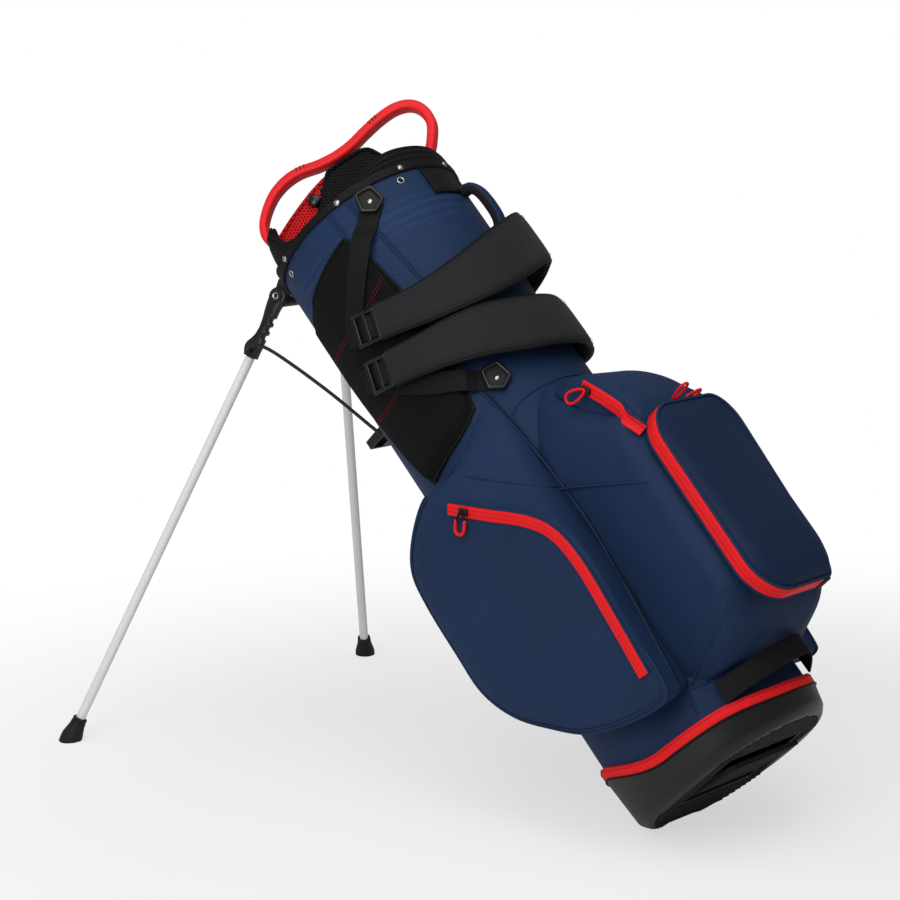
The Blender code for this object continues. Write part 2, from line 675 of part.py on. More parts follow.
def build_side_pocket(shop, bag, seat, side):
    """Full side pocket: a flat face on sewn sides and a sloping roof, with its zip let in."""
    sign = SIDES[side]
    edge = smooth_route([(x, 0.0, z) for x, z in POCKET_FACE], 2, closed=True)
    seam = smooth_route([(x, 0.0, z) for x, z in POCKET_SEAM], 2, closed=True)
    middle = Vector((POCKET_MIDDLE[0], 0.0, POCKET_MIDDLE[1]))
    piping = TRUNK_RADIUS + SIDE_PIPING_DEPTH
    face = TRUNK_RADIUS + SIDE_POCKET_DEPTH
    crown = face - piping
    sewn = []
    for point in seam:
        depth = math.sqrt(max(TRUNK_RADIUS ** 2 - point.x ** 2, 0.0)) - TRUNK_WALL
        sewn.append(point + Vector((0.0, sign * depth, 0.0)))
    depths = [(piping - crown / 2, 1.0), (piping, 1.0), (piping + 0.45 * crown, 0.95),
              (piping + 0.75 * crown, 0.86), (piping + 0.93 * crown, 0.60), (face, 0.30)]
    rings = [sewn]
    for depth, scale in depths:
        rings.append([middle + (point - middle) * scale + Vector((0.0, sign * depth, 0.0))
                      for point in edge])
    pocket = shop.piece(f"side_pocket_{side}", loft(rings), "navy_cloth", bag)
    boolean(pocket, seat)
    boolean(pocket, shop.tool(f"block_seat_{side}", block_shape(2 * GAP), bag))

    level = face - SLIDER_THICKNESS + GAP
    straight = [Vector((x, 0.0, z)) for x, z in ZIP_ROUTE[:3]]
    bend = smooth_route([(x, 0.0, z) for x, z in ZIP_ROUTE[2:]], 3)
    route = [point + Vector((0.0, sign * level, 0.0)) for point in straight[:2] + bend]
    facing = [Vector((0.0, sign, 0.0))] * len(route)
    zip_widths = [ZIP_WIDTH] * len(route)
    zip_shape = ribbon(route, facing, zip_widths, -ZIP_THICKNESS, 0.0)
    shop.piece(f"zip_side_{side}", zip_shape, "red_cloth", bag)
    along = directions(route)
    groove_route = list(route)
    groove_route[0] = route[0] - along[0] * GAP
    groove_route[-1] = route[-1] + along[-1] * GAP
    groove_widths = [ZIP_WIDTH + 2 * GAP] * len(route)
    groove = ribbon(groove_route, facing, groove_widths, -ZIP_THICKNESS - GAP, SIDE_POCKET_DEPTH)
    boolean(pocket, shop.tool(f"zip_groove_{side}", groove, bag))

    run = (route[2] - route[0]).normalized()
    start = route[0] + run * 2 * SLIDER_LENGTH
    hang = Vector((-math.sin(LEAN), 0.0, -math.cos(LEAN)))
    build_slider(shop, bag, f"side_{side}", start, run, facing[0], hang)


def build_slider(shop, bag, name, place, run, facing, hang):
    """A zip slider on the face of a zip, with a corded loop pull hinged on it."""
    across = facing.cross(run)
    turn = Matrix((run, across, facing)).transposed().to_4x4()
    frame = shop.empty(f"slider_frame_{name}", Matrix.Translation(place) @ turn, bag)
    body = block((SLIDER_LENGTH, SLIDER_WIDTH, SLIDER_THICKNESS),
                 Vector((0.0, 0.0, GAP + SLIDER_THICKNESS / 2)))
    shop.piece(f"zip_slider_{name}", body, "black_moulding", frame)
    lift = GAP + SLIDER_THICKNESS + GAP + PULL_RADIUS
    flow = hang - facing * hang.dot(facing)
    flow.normalize()
    turn = Matrix((flow, facing.cross(flow), facing)).transposed().to_4x4()
    pivot = shop.empty(f"pull_pivot_{name}", Matrix.Translation(place + facing * lift) @ turn, bag)
    wide = PULL_WIDTH / 2
    loop = [(0.0, -PULL_RADIUS * 1.3), (PULL_LENGTH * 0.42, -wide), (PULL_LENGTH * 0.80, -wide),
            (PULL_LENGTH, -wide * 0.45), (PULL_LENGTH, wide * 0.45), (PULL_LENGTH * 0.80, wide),
            (PULL_LENGTH * 0.42, wide), (0.0, PULL_RADIUS * 1.3)]
    route = smooth_route([(u, v, 0.0) for u, v in loop], 2)
    shop.wire(f"zip_pull_{name}", route, PULL_RADIUS, "red_cloth", pivot, sides=1)


def build_back_zips(shop, bag):
    """Valuables zip on its near flank, and the sliders of the ball and valuables zips."""
    facing = Vector((0.0, -1.0, 0.0))
    flank = max(half for height, half, reach in VALUABLES_STATIONS) + GAP
    route = [Vector((TRUNK_RADIUS + reach, -flank, height)) for reach, height in VALUABLES_ZIP]
    run = (route[1] - route[0]).normalized()
    widths = [ZIP_WIDTH] * 2
    zip_shape = ribbon(route, [facing] * 2, widths, 0.0, ZIP_THICKNESS)
    shop.piece("zip_valuables", zip_shape, "red_cloth", bag)
    start = route[0] + run * SLIDER_LENGTH + facing * ZIP_THICKNESS
    build_slider(shop, bag, "valuables", start, run, facing, Vector((-1.0, 0.0, 0.25)))

    belt_middle = TRUNK_RADIUS + BLOCK_DEPTH + GAP + 0.005 + ZIP_WIDTH / 2
    top = BALL_TOP + GAP + ZIP_THICKNESS
    upward = Vector((0.0, 0.0, 1.0))
    hangs = {"near": Vector((1.0, 0.0, 0.0)), "far": Vector((0.0, 1.0, 0.0))}
    for side, sign in SIDES.items():
        place = Vector((belt_middle, sign * SLIDER_LENGTH, top))
        run = Vector((0.0, float(sign), 0.0))
        build_slider(shop, bag, f"ball_{side}", place, run, upward, hangs[side])


# Hip pad, straps and handles

HIP_PAD = [
    # angle, low height, high height
    (57.0, 0.548, 0.690), (60.0, 0.508, 0.732), (67.0, 0.498, 0.785), (76.0, 0.490, 0.780),
    (92.0, 0.482, 0.771), (107.0, 0.477, 0.763), (112.0, 0.519, 0.760), (122.0, 0.580, 0.758),
    (130.0, 0.712, 0.757), (133.0, 0.738, 0.755),
]
UPPER_PAD = [
    # angle, radius beyond the trunk, height
    (73.2, 0.0235, 0.668), (50.0, 0.0250, 0.662), (25.0, 0.0295, 0.664), (0.0, 0.0340, 0.672),
    (-25.0, 0.0345, 0.684), (-45.0, 0.0310, 0.690), (-68.0, 0.0215, 0.686), (-86.0, 0.0125, 0.680),
    (-95.0, 0.0110, 0.680),
]
LOWER_PAD = [
    (81.2, 0.0235, 0.612), (62.0, 0.0250, 0.582), (35.0, 0.0280, 0.570), (5.0, 0.0320, 0.570),
    (-25.0, 0.0330, 0.573), (-48.0, 0.0290, 0.574), (-70.0, 0.0190, 0.581), (-86.0, 0.0125, 0.588),
    (-95.0, 0.0110, 0.588),
]
UPPER_WEB = [
    (43.0, WEB_LOW, 0.803), (52.0, WEB_LOW, 0.782), (56.0, WEB_MIDDLE, 0.772), (60.0, WEB_HIGH, 0.761),
    (78.0, WEB_HIGH, 0.712), (92.0, WEB_HIGH, 0.676),
]
LOWER_WEB = [
    (40.0, WEB_LOW, 0.522), (49.0, WEB_LOW, 0.532), (53.0, WEB_MIDDLE, 0.537), (57.0, WEB_HIGH, 0.543),
    (74.0, WEB_HIGH, 0.570), (96.0, WEB_HIGH, 0.616),
]
HAUL_LOOP = [
    (38.0, 0.0082, 0.062), (28.0, 0.0180, 0.064), (14.0, 0.0270, 0.067), (0.0, 0.0300, 0.068),
    (-14.0, 0.0270, 0.067), (-28.0, 0.0180, 0.064), (-38.0, 0.0082, 0.062),
]
HUB = [(UPPER_PAD[-1][0] - 0.4, 0.545, 0.725), (-110.0, 0.560, 0.710), (-117.0, 0.600, 0.670)]
ANCHORS = {"upper": (44.0, 0.8055), "lower": (41.0, 0.524)}


def trunk_route(rows, steps=4):
    """A smooth route about the trunk along rows of (angle, radius beyond the trunk, height)."""
    return [polar(TRUNK_RADIUS + row.y, row.x, row.z) for row in smooth_route(rows, steps)]


def trunk_band(rows, thickness, widths):
    """A strap about the trunk along rows of (angle, radius beyond the trunk, height)."""
    route = trunk_route(rows)
    normals = [Vector((point.x, point.y, 0.0)).normalized() for point in route]
    spread = [widths(step / (len(route) - 1)) for step in range(len(route))]
    return ribbon(route, normals, spread, -thickness / 2, thickness / 2)


def pad_width(share):
    """Width of a shoulder pad along its length, drawn in at both ends."""
    full = smooth_step(share, 0.0, 0.22) * (1.0 - smooth_step(share, 0.8, 1.0))
    return PAD_END_WIDTH + (PAD_WIDTH - PAD_END_WIDTH) * full


def build_carry(shop, bag):
    """Hip pad, shoulder pads with buckles and webbing, hub, and the base's haul loop."""
    skin = TRUNK_RADIUS + GAP
    shop.piece("hip_pad", shell_patch(HIP_PAD, skin, skin + HIP_PAD_THICKNESS), "black_cloth", bag)
    pads = {"upper": UPPER_PAD, "lower": LOWER_PAD}
    webs = {"upper": UPPER_WEB, "lower": LOWER_WEB}
    for name, rows in pads.items():
        shop.piece(f"shoulder_pad_{name}", trunk_band(rows, PAD_THICKNESS, pad_width), "black_cloth", bag)
        web = trunk_band(webs[name], WEB_THICKNESS, lambda share: WEB_WIDTH)
        shop.piece(f"strap_web_{name}", web, "black_cloth", bag)
        build_buckle(shop, bag, name, rows)
        build_anchor(shop, bag, name)
    end = TRUNK_RADIUS + UPPER_PAD[-1][1] + PAD_THICKNESS / 2
    shop.piece("strap_hub", shell_patch(HUB, skin, end), "black_cloth", bag)
    loop = trunk_band(HAUL_LOOP, WEB_THICKNESS, lambda share: WEB_WIDTH)
    shop.piece("haul_loop", loop, "black_cloth", bag)


def build_buckle(shop, bag, name, rows):
    """Ladder-lock buckle at the near end of a shoulder pad: a frame with two slots."""
    route = trunk_route(rows)
    facing = Vector((route[0].x, route[0].y, 0.0)).normalized()
    run = -directions(route)[0]
    run = (run - facing * run.dot(facing)).normalized()
    turn = Matrix((facing, run, facing.cross(run))).transposed().to_4x4()
    centre = route[0] + run * (BUCKLE_LENGTH / 2 + SOFT_GAP)
    frame = shop.empty(f"buckle_frame_{name}", Matrix.Translation(centre) @ turn, bag)
    size = (BUCKLE_THICKNESS, BUCKLE_LENGTH, BUCKLE_WIDTH)
    buckle = shop.piece(f"buckle_{name}", block(size, Vector()), "black_moulding", frame)
    slot = (BUCKLE_LENGTH - 3 * BUCKLE_BAR) / 2
    for sign in (-1, 1):
        centre = Vector((0.0, sign * (slot + BUCKLE_BAR) / 2, 0.0))
        hole = block((2 * BUCKLE_THICKNESS, slot, BUCKLE_WIDTH - 2 * BUCKLE_BAR), centre)
        boolean(buckle, shop.tool(f"buckle_slot_{name}_{sign}", hole, frame))


def build_anchor(shop, bag, name):
    """Five-sided anchor plate over a webbing end, with its rivet."""
    angle, height = ANCHORS[name]
    turn = Matrix.Rotation(math.radians(-angle), 4, "Z")
    lift = WEB_LOW + WEB_THICKNESS / 2 + SOFT_GAP + ANCHOR_THICKNESS / 2
    frame = shop.empty(f"anchor_frame_{name}",
                       Matrix.Translation(polar(TRUNK_RADIUS + lift, angle, height)) @ turn, bag)
    wide, tall = ANCHOR_WIDTH / 2, ANCHOR_HEIGHT / 2
    outline = [(-wide, -0.4 * tall), (0.0, -tall), (wide, -0.4 * tall),
               (0.7 * wide, tall), (-0.7 * wide, tall)]
    half = ANCHOR_THICKNESS / 2
    plate = prism(outline, Vector((0, 1, 0)), Vector((0, 0, 1)), -half, half)
    anchor = shop.piece(f"strap_anchor_{name}", plate, "black_moulding", frame)
    rivet = cylinder(0.0045, (0.0, 0.0, 0.0), (half + 0.002, 0.0, 0.0), sides=12)
    boolean(anchor, shop.tool(f"anchor_rivet_{name}", rivet, frame), "UNION")


def build_grab(shop, bag):
    """Patch on the cuff and the padded grab handle below it."""
    skin = TRUNK_RADIUS + GAP
    top = BINDING_FOOT - GAP
    low = BINDING_FOOT - PATCH_HEIGHT
    plate = [(GRAB_ANGLE - 12.0, low + 0.006, top), (GRAB_ANGLE - 10.0, low, top),
             (GRAB_ANGLE + 18.0, low, top), (GRAB_ANGLE + 20.0, low + 0.006, top)]
    shop.piece("cuff_patch", shell_patch(plate, skin, skin + PATCH_THICKNESS), "black_moulding", bag)
    start = skin + PATCH_THICKNESS + SOFT_GAP
    arch = [(start, 0.025), (start + 0.013, 0.025), (start + 0.024, 0.037), (start + 0.027, 0.063),
            (start + 0.022, 0.087), (start + 0.010, 0.1035), (skin + SOFT_GAP, 0.105)]
    route = smooth_route([polar(radius, GRAB_ANGLE, BINDING_FOOT - drop) for radius, drop in arch], 3)
    shop.wire("grab_handle", route, GRAB_RADIUS, "navy_cloth", bag, sides=2)


# Stand

def build_stand(shop, bag, ground, seat):
    """Stand head, keeper, push rod with its sleeve, and both legs."""
    tilt = Vector((-math.cos(LEG_SPLAY), -math.sin(LEG_SPLAY), 0.0))
    axle = Vector((math.sin(LEG_SPLAY), -math.cos(LEG_SPLAY), 0.0))
    pivot = Vector((-(TRUNK_RADIUS + PIVOT_STANDOFF), -PIVOT_SPREAD, 0.0))
    face = pivot - axle * (EYE_WIDTH / 2 + GAP)
    outer = face + tilt * HEAD_REACH
    inner = face - tilt * (HEAD_REACH + 0.004)
    half = [(outer.x, outer.y), (inner.x, inner.y), (-0.85 * TRUNK_RADIUS, 0.6 * inner.y)]
    outline = half + [(x, -y) for x, y in reversed(half)]
    x, y = Vector((1, 0, 0)), Vector((0, 1, 0))
    head = shop.piece("stand_head", prism(outline, x, y, PIVOT_HEIGHT - HEAD_BELOW, PIVOT_HEIGHT + HEAD_ABOVE),
                      "black_moulding", bag)
    bound = TRUNK_RADIUS + BINDING_THICKNESS + 2 * GAP
    rim = loft([trunk_ring(bound, 0.0), trunk_ring(bound, 2 * RIM_LOW)])
    boolean(head, shop.tool("head_seat", rim, bag))

    for side, sign in SIDES.items():
        build_leg(shop, bag, ground, head, side, sign)

    front = TRUNK_RADIUS
    keeper_outline = [(-front - KEEPER_DEPTH, -KEEPER_WIDTH / 2), (-0.8 * front, -KEEPER_WIDTH / 2),
                      (-0.8 * front, KEEPER_WIDTH / 2), (-front - KEEPER_DEPTH, KEEPER_WIDTH / 2)]
    keeper = shop.piece("rod_keeper", prism(keeper_outline, x, y, KEEPER_FOOT, KEEPER_FOOT + KEEPER_HEIGHT),
                        "black_moulding", bag)
    boolean(keeper, seat)
    for side, sign in SIDES.items():
        slot = block((2 * (KEEPER_DEPTH - KEEPER_LIP), KEEPER_SLOT, 4 * KEEPER_HEIGHT),
                     Vector((-front, sign * KEEPER_SLOT_SPREAD, KEEPER_FOOT)))
        boolean(keeper, shop.tool(f"keeper_slot_{side}", slot, bag))

    rod_line = -(front + GAP + SLEEVE_DEPTH / 2)
    rod_top = KEEPER_FOOT - PUSH_ROD_DROP
    stem = cylinder(PUSH_ROD_RADIUS, (rod_line, 0.0, PUSH_ROD_FOOT), (rod_line, 0.0, rod_top), sides=12)
    rod = shop.piece("push_rod", stem, "black_steel", bag)
    bar = cylinder(PUSH_ROD_RADIUS, (rod_line, -PUSH_BAR / 2, rod_top),
                   (rod_line, PUSH_BAR / 2, rod_top), sides=12)
    boolean(rod, shop.tool("push_bar", bar, bag), "UNION")
    middle = (SLEEVE_FOOT + SLEEVE_TOP) / 2
    sleeve = block((2 * SLEEVE_DEPTH, SLEEVE_WIDTH, SLEEVE_TOP - SLEEVE_FOOT), Vector((-front, 0.0, middle)))
    channel = shop.piece("rod_sleeve", sleeve, "black_cloth", bag)
    boolean(channel, seat)
    bore = cylinder(PUSH_ROD_RADIUS + GAP, (rod_line, 0.0, 0.0), (rod_line, 0.0, 1.0), sides=12)
    boolean(channel, shop.tool("sleeve_bore", bore, bag))


LINK_SHARES = [
    # bends of a wire link, as shares of its reach and its drop
    (0.148, 0.029), (0.330, 0.165), (0.683, 0.567), (1.0, 1.0),
]


def leg_length():
    """Length of an open leg, from its pin to the ground."""
    height = PIVOT_HEIGHT - HEEL_HEIGHT
    setback = HEEL_REACH - TRUNK_RADIUS - PIVOT_STANDOFF
    drop = setback * math.sin(LEAN) + height * math.cos(LEAN)
    slope = math.sin(LEAN) * math.cos(LEG_SPLAY) * math.sin(LEG_OPEN) + math.cos(LEAN) * math.cos(LEG_OPEN)
    return drop / slope


def build_leg(shop, bag, ground, head, side, sign):
    """One leg on its pin: knuckle, tube and rubber foot, with the wire link that pushes it out."""
    place = Matrix.Translation((-(TRUNK_RADIUS + PIVOT_STANDOFF), sign * PIVOT_SPREAD, PIVOT_HEIGHT))
    swing = place @ Matrix.Rotation(math.pi - sign * LEG_SPLAY, 4, "Z")
    hinge = shop.empty(f"leg_hinge_{side}", swing, bag)
    leg = shop.empty(f"leg_frame_{side}", Matrix.Rotation(math.pi / 2 - LEG_OPEN, 4, "Y"), hinge)
    half = EYE_WIDTH / 2
    inward = sign

    pin_tip = inward * (half + GAP + HEAD_REACH)
    pin_seat = -inward * (half + GAP)
    pin_end = pin_seat - inward * PIN_HEAD
    shank = cylinder(PIN_RADIUS, (0, pin_tip, 0), (0, pin_seat - inward * PIN_HEAD / 2, 0))
    pin = shop.piece(f"leg_pin_{side}", shank, "bright_steel", hinge)
    pin_head = cylinder(PIN_HEAD_RADIUS, (0, pin_seat, 0), (0, pin_end, 0))
    boolean(pin, shop.tool(f"pin_head_{side}", pin_head, hinge), "UNION")
    bore = cylinder(PIN_RADIUS + GAP, (0, inward * half, 0), (0, pin_tip + inward * GAP, 0))
    boolean(head, shop.tool(f"head_bore_{side}", bore, hinge))

    knuckle = shop.piece(f"leg_knuckle_{side}", cylinder(EYE_RADIUS, (0, -half, 0), (0, half, 0)),
                         "black_moulding", leg)
    arm = block((KNUCKLE_LENGTH, EYE_WIDTH, KNUCKLE_HEIGHT), Vector((KNUCKLE_LENGTH / 2, 0.0, 0.0)))
    boolean(knuckle, shop.tool(f"knuckle_arm_{side}", arm, leg), "UNION")
    boss_end = inward * (LINK_OFFSET - LINK_BEND - GAP)
    boss = cylinder(LINK_BOSS_RADIUS, (LINK_ARM, 0, 0), (LINK_ARM, boss_end, 0), sides=16)
    boolean(knuckle, shop.tool(f"link_boss_{side}", boss, leg), "UNION")
    inside = LEG_RADIUS - LEG_WALL
    spigot = cylinder(inside - GAP, (KNUCKLE_LENGTH / 2, 0, 0),
                      (KNUCKLE_LENGTH + SPIGOT_LENGTH, 0, 0), sides=16)
    boolean(knuckle, shop.tool(f"knuckle_spigot_{side}", spigot, leg), "UNION")
    eye = cylinder(PIN_RADIUS + GAP, (0, -EYE_WIDTH, 0), (0, EYE_WIDTH, 0))
    boolean(knuckle, shop.tool(f"knuckle_bore_{side}", eye, leg))
    hook_hole = cylinder(LINK_RADIUS + GAP, (LINK_ARM, boss_end - inward * (LINK_HOOK + GAP), 0),
                         (LINK_ARM, boss_end + inward * 0.01, 0), sides=12)
    boolean(knuckle, shop.tool(f"link_hole_{side}", hook_hole, leg))

    tube_start, tube_end = KNUCKLE_LENGTH + GAP, leg_length() - FOOT_OVERHANG
    outer_ring = [leg_ring(LEG_RADIUS, tube_start), leg_ring(LEG_RADIUS, tube_end)]
    inner_ring = [leg_ring(inside, tube_end), leg_ring(inside, tube_start)]
    shop.piece(f"leg_tube_{side}", loft(outer_ring + inner_ring, loop=True), "white_lacquer", leg)

    foot_top = tube_end + GAP - FOOT_GRIP
    socket = LEG_RADIUS + GAP
    rubber = [leg_ring(socket, tube_end + GAP), leg_ring(socket, foot_top),
              leg_ring(FOOT_NECK, foot_top), leg_ring(FOOT_NECK, foot_top + 0.4 * FOOT_LENGTH),
              leg_ring(FOOT_RADIUS, foot_top + 0.8 * FOOT_LENGTH),
              leg_ring(FOOT_RADIUS, foot_top + FOOT_LENGTH + FOOT_RADIUS)]
    foot = shop.piece(f"leg_foot_{side}", loft(rubber), "black_rubber", leg)
    boolean(foot, ground)

    reach, drop = LINK_ARM * math.sin(LEG_OPEN), -LINK_ARM * math.cos(LEG_OPEN)
    pivot = shop.empty(f"link_pivot_{side}", Matrix.Translation((reach, 0.0, drop)), hinge)
    hook_end = boss_end - inward * LINK_HOOK
    line = inward * LINK_OFFSET
    hook = [Vector((0.0, hook_end, 0.0)), Vector((0.0, line - inward * LINK_BEND, 0.0)),
            Vector((-0.0012, line - inward * 0.0012, -0.0004)), Vector((-0.004, line, -0.001))]
    link_drop = PIVOT_HEIGHT + drop - KEEPER_FOOT + LINK_TAIL
    run = [Vector((-0.004, line, -0.001))]
    run += [Vector((-across * LINK_REACH, line, -down * link_drop)) for across, down in LINK_SHARES]
    run = smooth_route(run, 3)
    shop.wire(f"stand_link_{side}", hook + run[1:], LINK_RADIUS, "black_steel", pivot)


def leg_ring(radius, distance):
    """One ring about a leg's own axis."""
    return [Vector((distance, radius * math.cos(step * math.pi / 8), radius * math.sin(step * math.pi / 8)))
            for step in range(16)]


def main():
    """Build every piece of the bag."""
    clear_scene()
    shop = Workshop()
    bag = shop.empty("bag_frame", lean_matrix())
    ground = ground_tool(shop)
    build_base(shop, bag, ground)
    build_plate(shop, bag)
    build_trunk(shop, bag)
    build_mouth(shop, bag)
    seat = trunk_tool(shop, bag)
    build_back_pockets(shop, bag, seat)
    for side in SIDES:
        build_side_pocket(shop, bag, seat, side)
    build_back_zips(shop, bag)
    build_carry(shop, bag)
    build_grab(shop, bag)
    build_stand(shop, bag, ground, seat)
    bpy.context.view_layer.update()


main()
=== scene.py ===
"""Dress of a golf stand bag: cloth, mesh, webbing, zips and mouldings over its solid pieces.

Every piece is shaped in the bag's own frame (x to the back, y to the far side, z up the trunk,
origin at the middle of the base), where an angle of 0 is the back of the trunk and 90 its near
side, and is then laid into the leaning bag.
"""
import math

import bmesh
import bpy
from mathutils import Matrix, Vector


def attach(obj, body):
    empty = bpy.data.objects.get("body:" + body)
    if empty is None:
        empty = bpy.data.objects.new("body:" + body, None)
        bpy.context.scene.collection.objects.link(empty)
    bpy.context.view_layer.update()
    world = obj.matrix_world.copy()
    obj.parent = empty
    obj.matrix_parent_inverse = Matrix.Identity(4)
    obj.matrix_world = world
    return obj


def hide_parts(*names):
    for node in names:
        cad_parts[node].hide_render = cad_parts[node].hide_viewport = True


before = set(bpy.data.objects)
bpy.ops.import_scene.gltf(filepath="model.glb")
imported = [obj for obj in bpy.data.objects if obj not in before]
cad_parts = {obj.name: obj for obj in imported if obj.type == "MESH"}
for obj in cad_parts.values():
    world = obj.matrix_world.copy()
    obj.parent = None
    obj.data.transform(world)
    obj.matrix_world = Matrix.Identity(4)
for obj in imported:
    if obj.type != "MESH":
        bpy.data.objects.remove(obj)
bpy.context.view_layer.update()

bl_info = {
    "name": "Golf stand bag dress",
    "version": (1, 0, 0),
    "blender": (4, 5, 0),
    "location": "View3D > Sidebar > Stand bag",
    "description": "Builds the cloth, trim and mouldings of a golf stand bag and its studio stage",
    "category": "Object",
}

# Lean of the bag about its heel
LEAN = math.radians(44.4)
HEEL = Vector((-0.1257, 0.0, 0.017))
BAG = Matrix.Rotation(-LEAN, 4, "Y")
BAG.translation = -(BAG.to_3x3() @ HEEL)
GROUND_UP = Vector((math.sin(LEAN), 0.0, math.cos(LEAN)))

TRUNK = 0.128
RIM_LOW = 0.834
MOUTH_ANGLE = 142.5
HANDLE_SEAT = 0.944
SIDES = {"near": -1, "far": 1}
PIVOT_HEIGHT = 0.846
LEG_SPLAY = math.radians(23.19)
LEG_OPEN = math.radians(62.9)
LEG_LENGTH = 0.6476


# Shapes of the trunk's edges

def polar(radius, angle, height):
    """A point about the trunk axis; 0 degrees is the back and 90 the near side."""
    turn = math.radians(angle)
    return Vector((radius * math.cos(turn), -radius * math.sin(turn), height))


def ease(value, low, high):
    """Smooth step from 0 at low to 1 at high."""
    share = min(max((value - low) / (high - low), 0.0), 1.0)
    return share * share * (3.0 - 2.0 * share)


def turned(angle):
    """An angle brought between -180 and 180 degrees."""
    return (angle + 180.0) % 360.0 - 180.0


def rim_height(angle):
    """Top edge of the cuff, which dips along both flanks."""
    turn = abs(turned(angle))
    offset = (turn - 75.0) / (42.0 if turn < 75.0 else 60.0)
    return RIM_LOW + 0.025 * (1.0 - math.exp(-offset ** 4))


def collar_height(angle):
    """Top of the mesh collar: the rim with two lobes that take the handle's ends."""
    height = rim_height(angle)
    for lobe, top, wide in ((MOUTH_ANGLE - 4.0, 0.9010, 24.0), (MOUTH_ANGLE - 180.0, 0.8790, 10.0)):
        share = 1.0 / (1.0 + (abs(turned(angle - lobe)) / wide) ** 4)
        height += (top - height) * share
    return height


def collar_point(radius, angle, height):
    """A point of the collar, whose front lobe leans in over the mouth."""
    front = 1.0 - ease(abs(turned(angle - MOUTH_ANGLE)), 20.0, 55.0)
    return polar(radius - 0.014 * front * ease(height, 0.882, 0.903), angle, height)


def boot_height(angle):
    """Top edge of the boot, higher at the front."""
    turn = abs(turned(angle))
    return 0.036 + 0.036 * ease(turn, 78.0, 135.0) - 0.008 * (1.0 - ease(turn, 5.0, 50.0))


def table(rows, value):
    """Values of a table at a place, between rows whose first entry rises."""
    if value <= rows[0][0]:
        return rows[0][1:]
    for low, high in zip(rows, rows[1:]):
        if value <= high[0]:
            share = (value - low[0]) / (high[0] - low[0])
            return [a + (b - a) * share for a, b in zip(low[1:], high[1:])]
    return rows[-1][1:]


def ripple(*values):
    """A soft repeatable unevenness between -1 and 1, for slack cloth."""
    total = 0.0
    for step, value in enumerate(values):
        total += math.sin(value * (1.0 + 0.37 * step) + 1.7 * step)
        total += 0.5 * math.sin(value * 2.3 + 0.9 * step + total)
    return total / (1.5 * len(values))


# Routes

def spline(points, steps=4, closed=False):
    """A smooth route through every point."""
    points = [Vector(point) for point in points]
    count = len(points)
    route = []
    for span in range(count if closed else count - 1):
        if closed:
            before, start, end, after = (points[(span + shift) % count] for shift in (-1, 0, 1, 2))
        else:
            start, end = points[span], points[span + 1]
            before = points[span - 1] if span else start * 2 - end
            after = points[span + 2] if span + 2 < count else end * 2 - start
        for step in range(steps):
            t = step / steps
            route.append((start * 2 + (end - before) * t + (before * 2 - start * 5 + end * 4 - after) * t * t
                          + (start * 3 - before - end * 3 + after) * t * t * t) / 2)
    if not closed:
        route.append(points[-1])
    return route


def even(path, spacing, closed=False):
    """The same route with its points spread evenly."""
    points = list(path) + ([path[0]] if closed else [])
    marks = [0.0]
    for start, end in zip(points, points[1:]):
        marks.append(marks[-1] + (end - start).length)
    count = max(2, round(marks[-1] / spacing))
    route, span = [], 0
    for step in range(count if closed else count + 1):
        place = marks[-1] * step / count
        while span < len(points) - 2 and marks[span + 1] < place:
            span += 1
        size = max(marks[span + 1] - marks[span], 1e-9)
        route.append(points[span].lerp(points[span + 1], (place - marks[span]) / size))
    return route


def headings(path, closed=False):
    """Direction of a route at each of its points."""
    last = len(path) - 1
    found = []
    for step in range(len(path)):
        if closed:
            found.append((path[(step + 1) % (last + 1)] - path[step - 1]).normalized())
        else:
            found.append((path[min(step + 1, last)] - path[max(step - 1, 0)]).normalized())
    return found


def about_trunk(rows, steps=6):
    """A route about the trunk along rows of (angle, distance beyond the trunk, height)."""
    return [polar(TRUNK + row.y, row.x, row.z) for row in spline(rows, steps)]


def radial(path):
    """Outward directions from the trunk axis along a route."""
    return [Vector((point.x, point.y, 0.0)).normalized() for point in path]


def rounded(width, thickness, steps=3, soft=0.5):
    """Cross-section of a flat strap with rounded edges, as (across, up)."""
    half, high = width / 2, thickness / 2
    corner = high * 2 * soft
    section = []
    for turn, side, rise in ((0, 1, 1), (90, -1, 1), (180, -1, -1), (270, 1, -1)):
        for step in range(steps + 1):
            angle = math.radians(turn + 90.0 * step / steps)
            section.append((side * (half - corner) + corner * math.cos(angle),
                            rise * (high - corner) + corner * math.sin(angle)))
    return section


# Piece builder

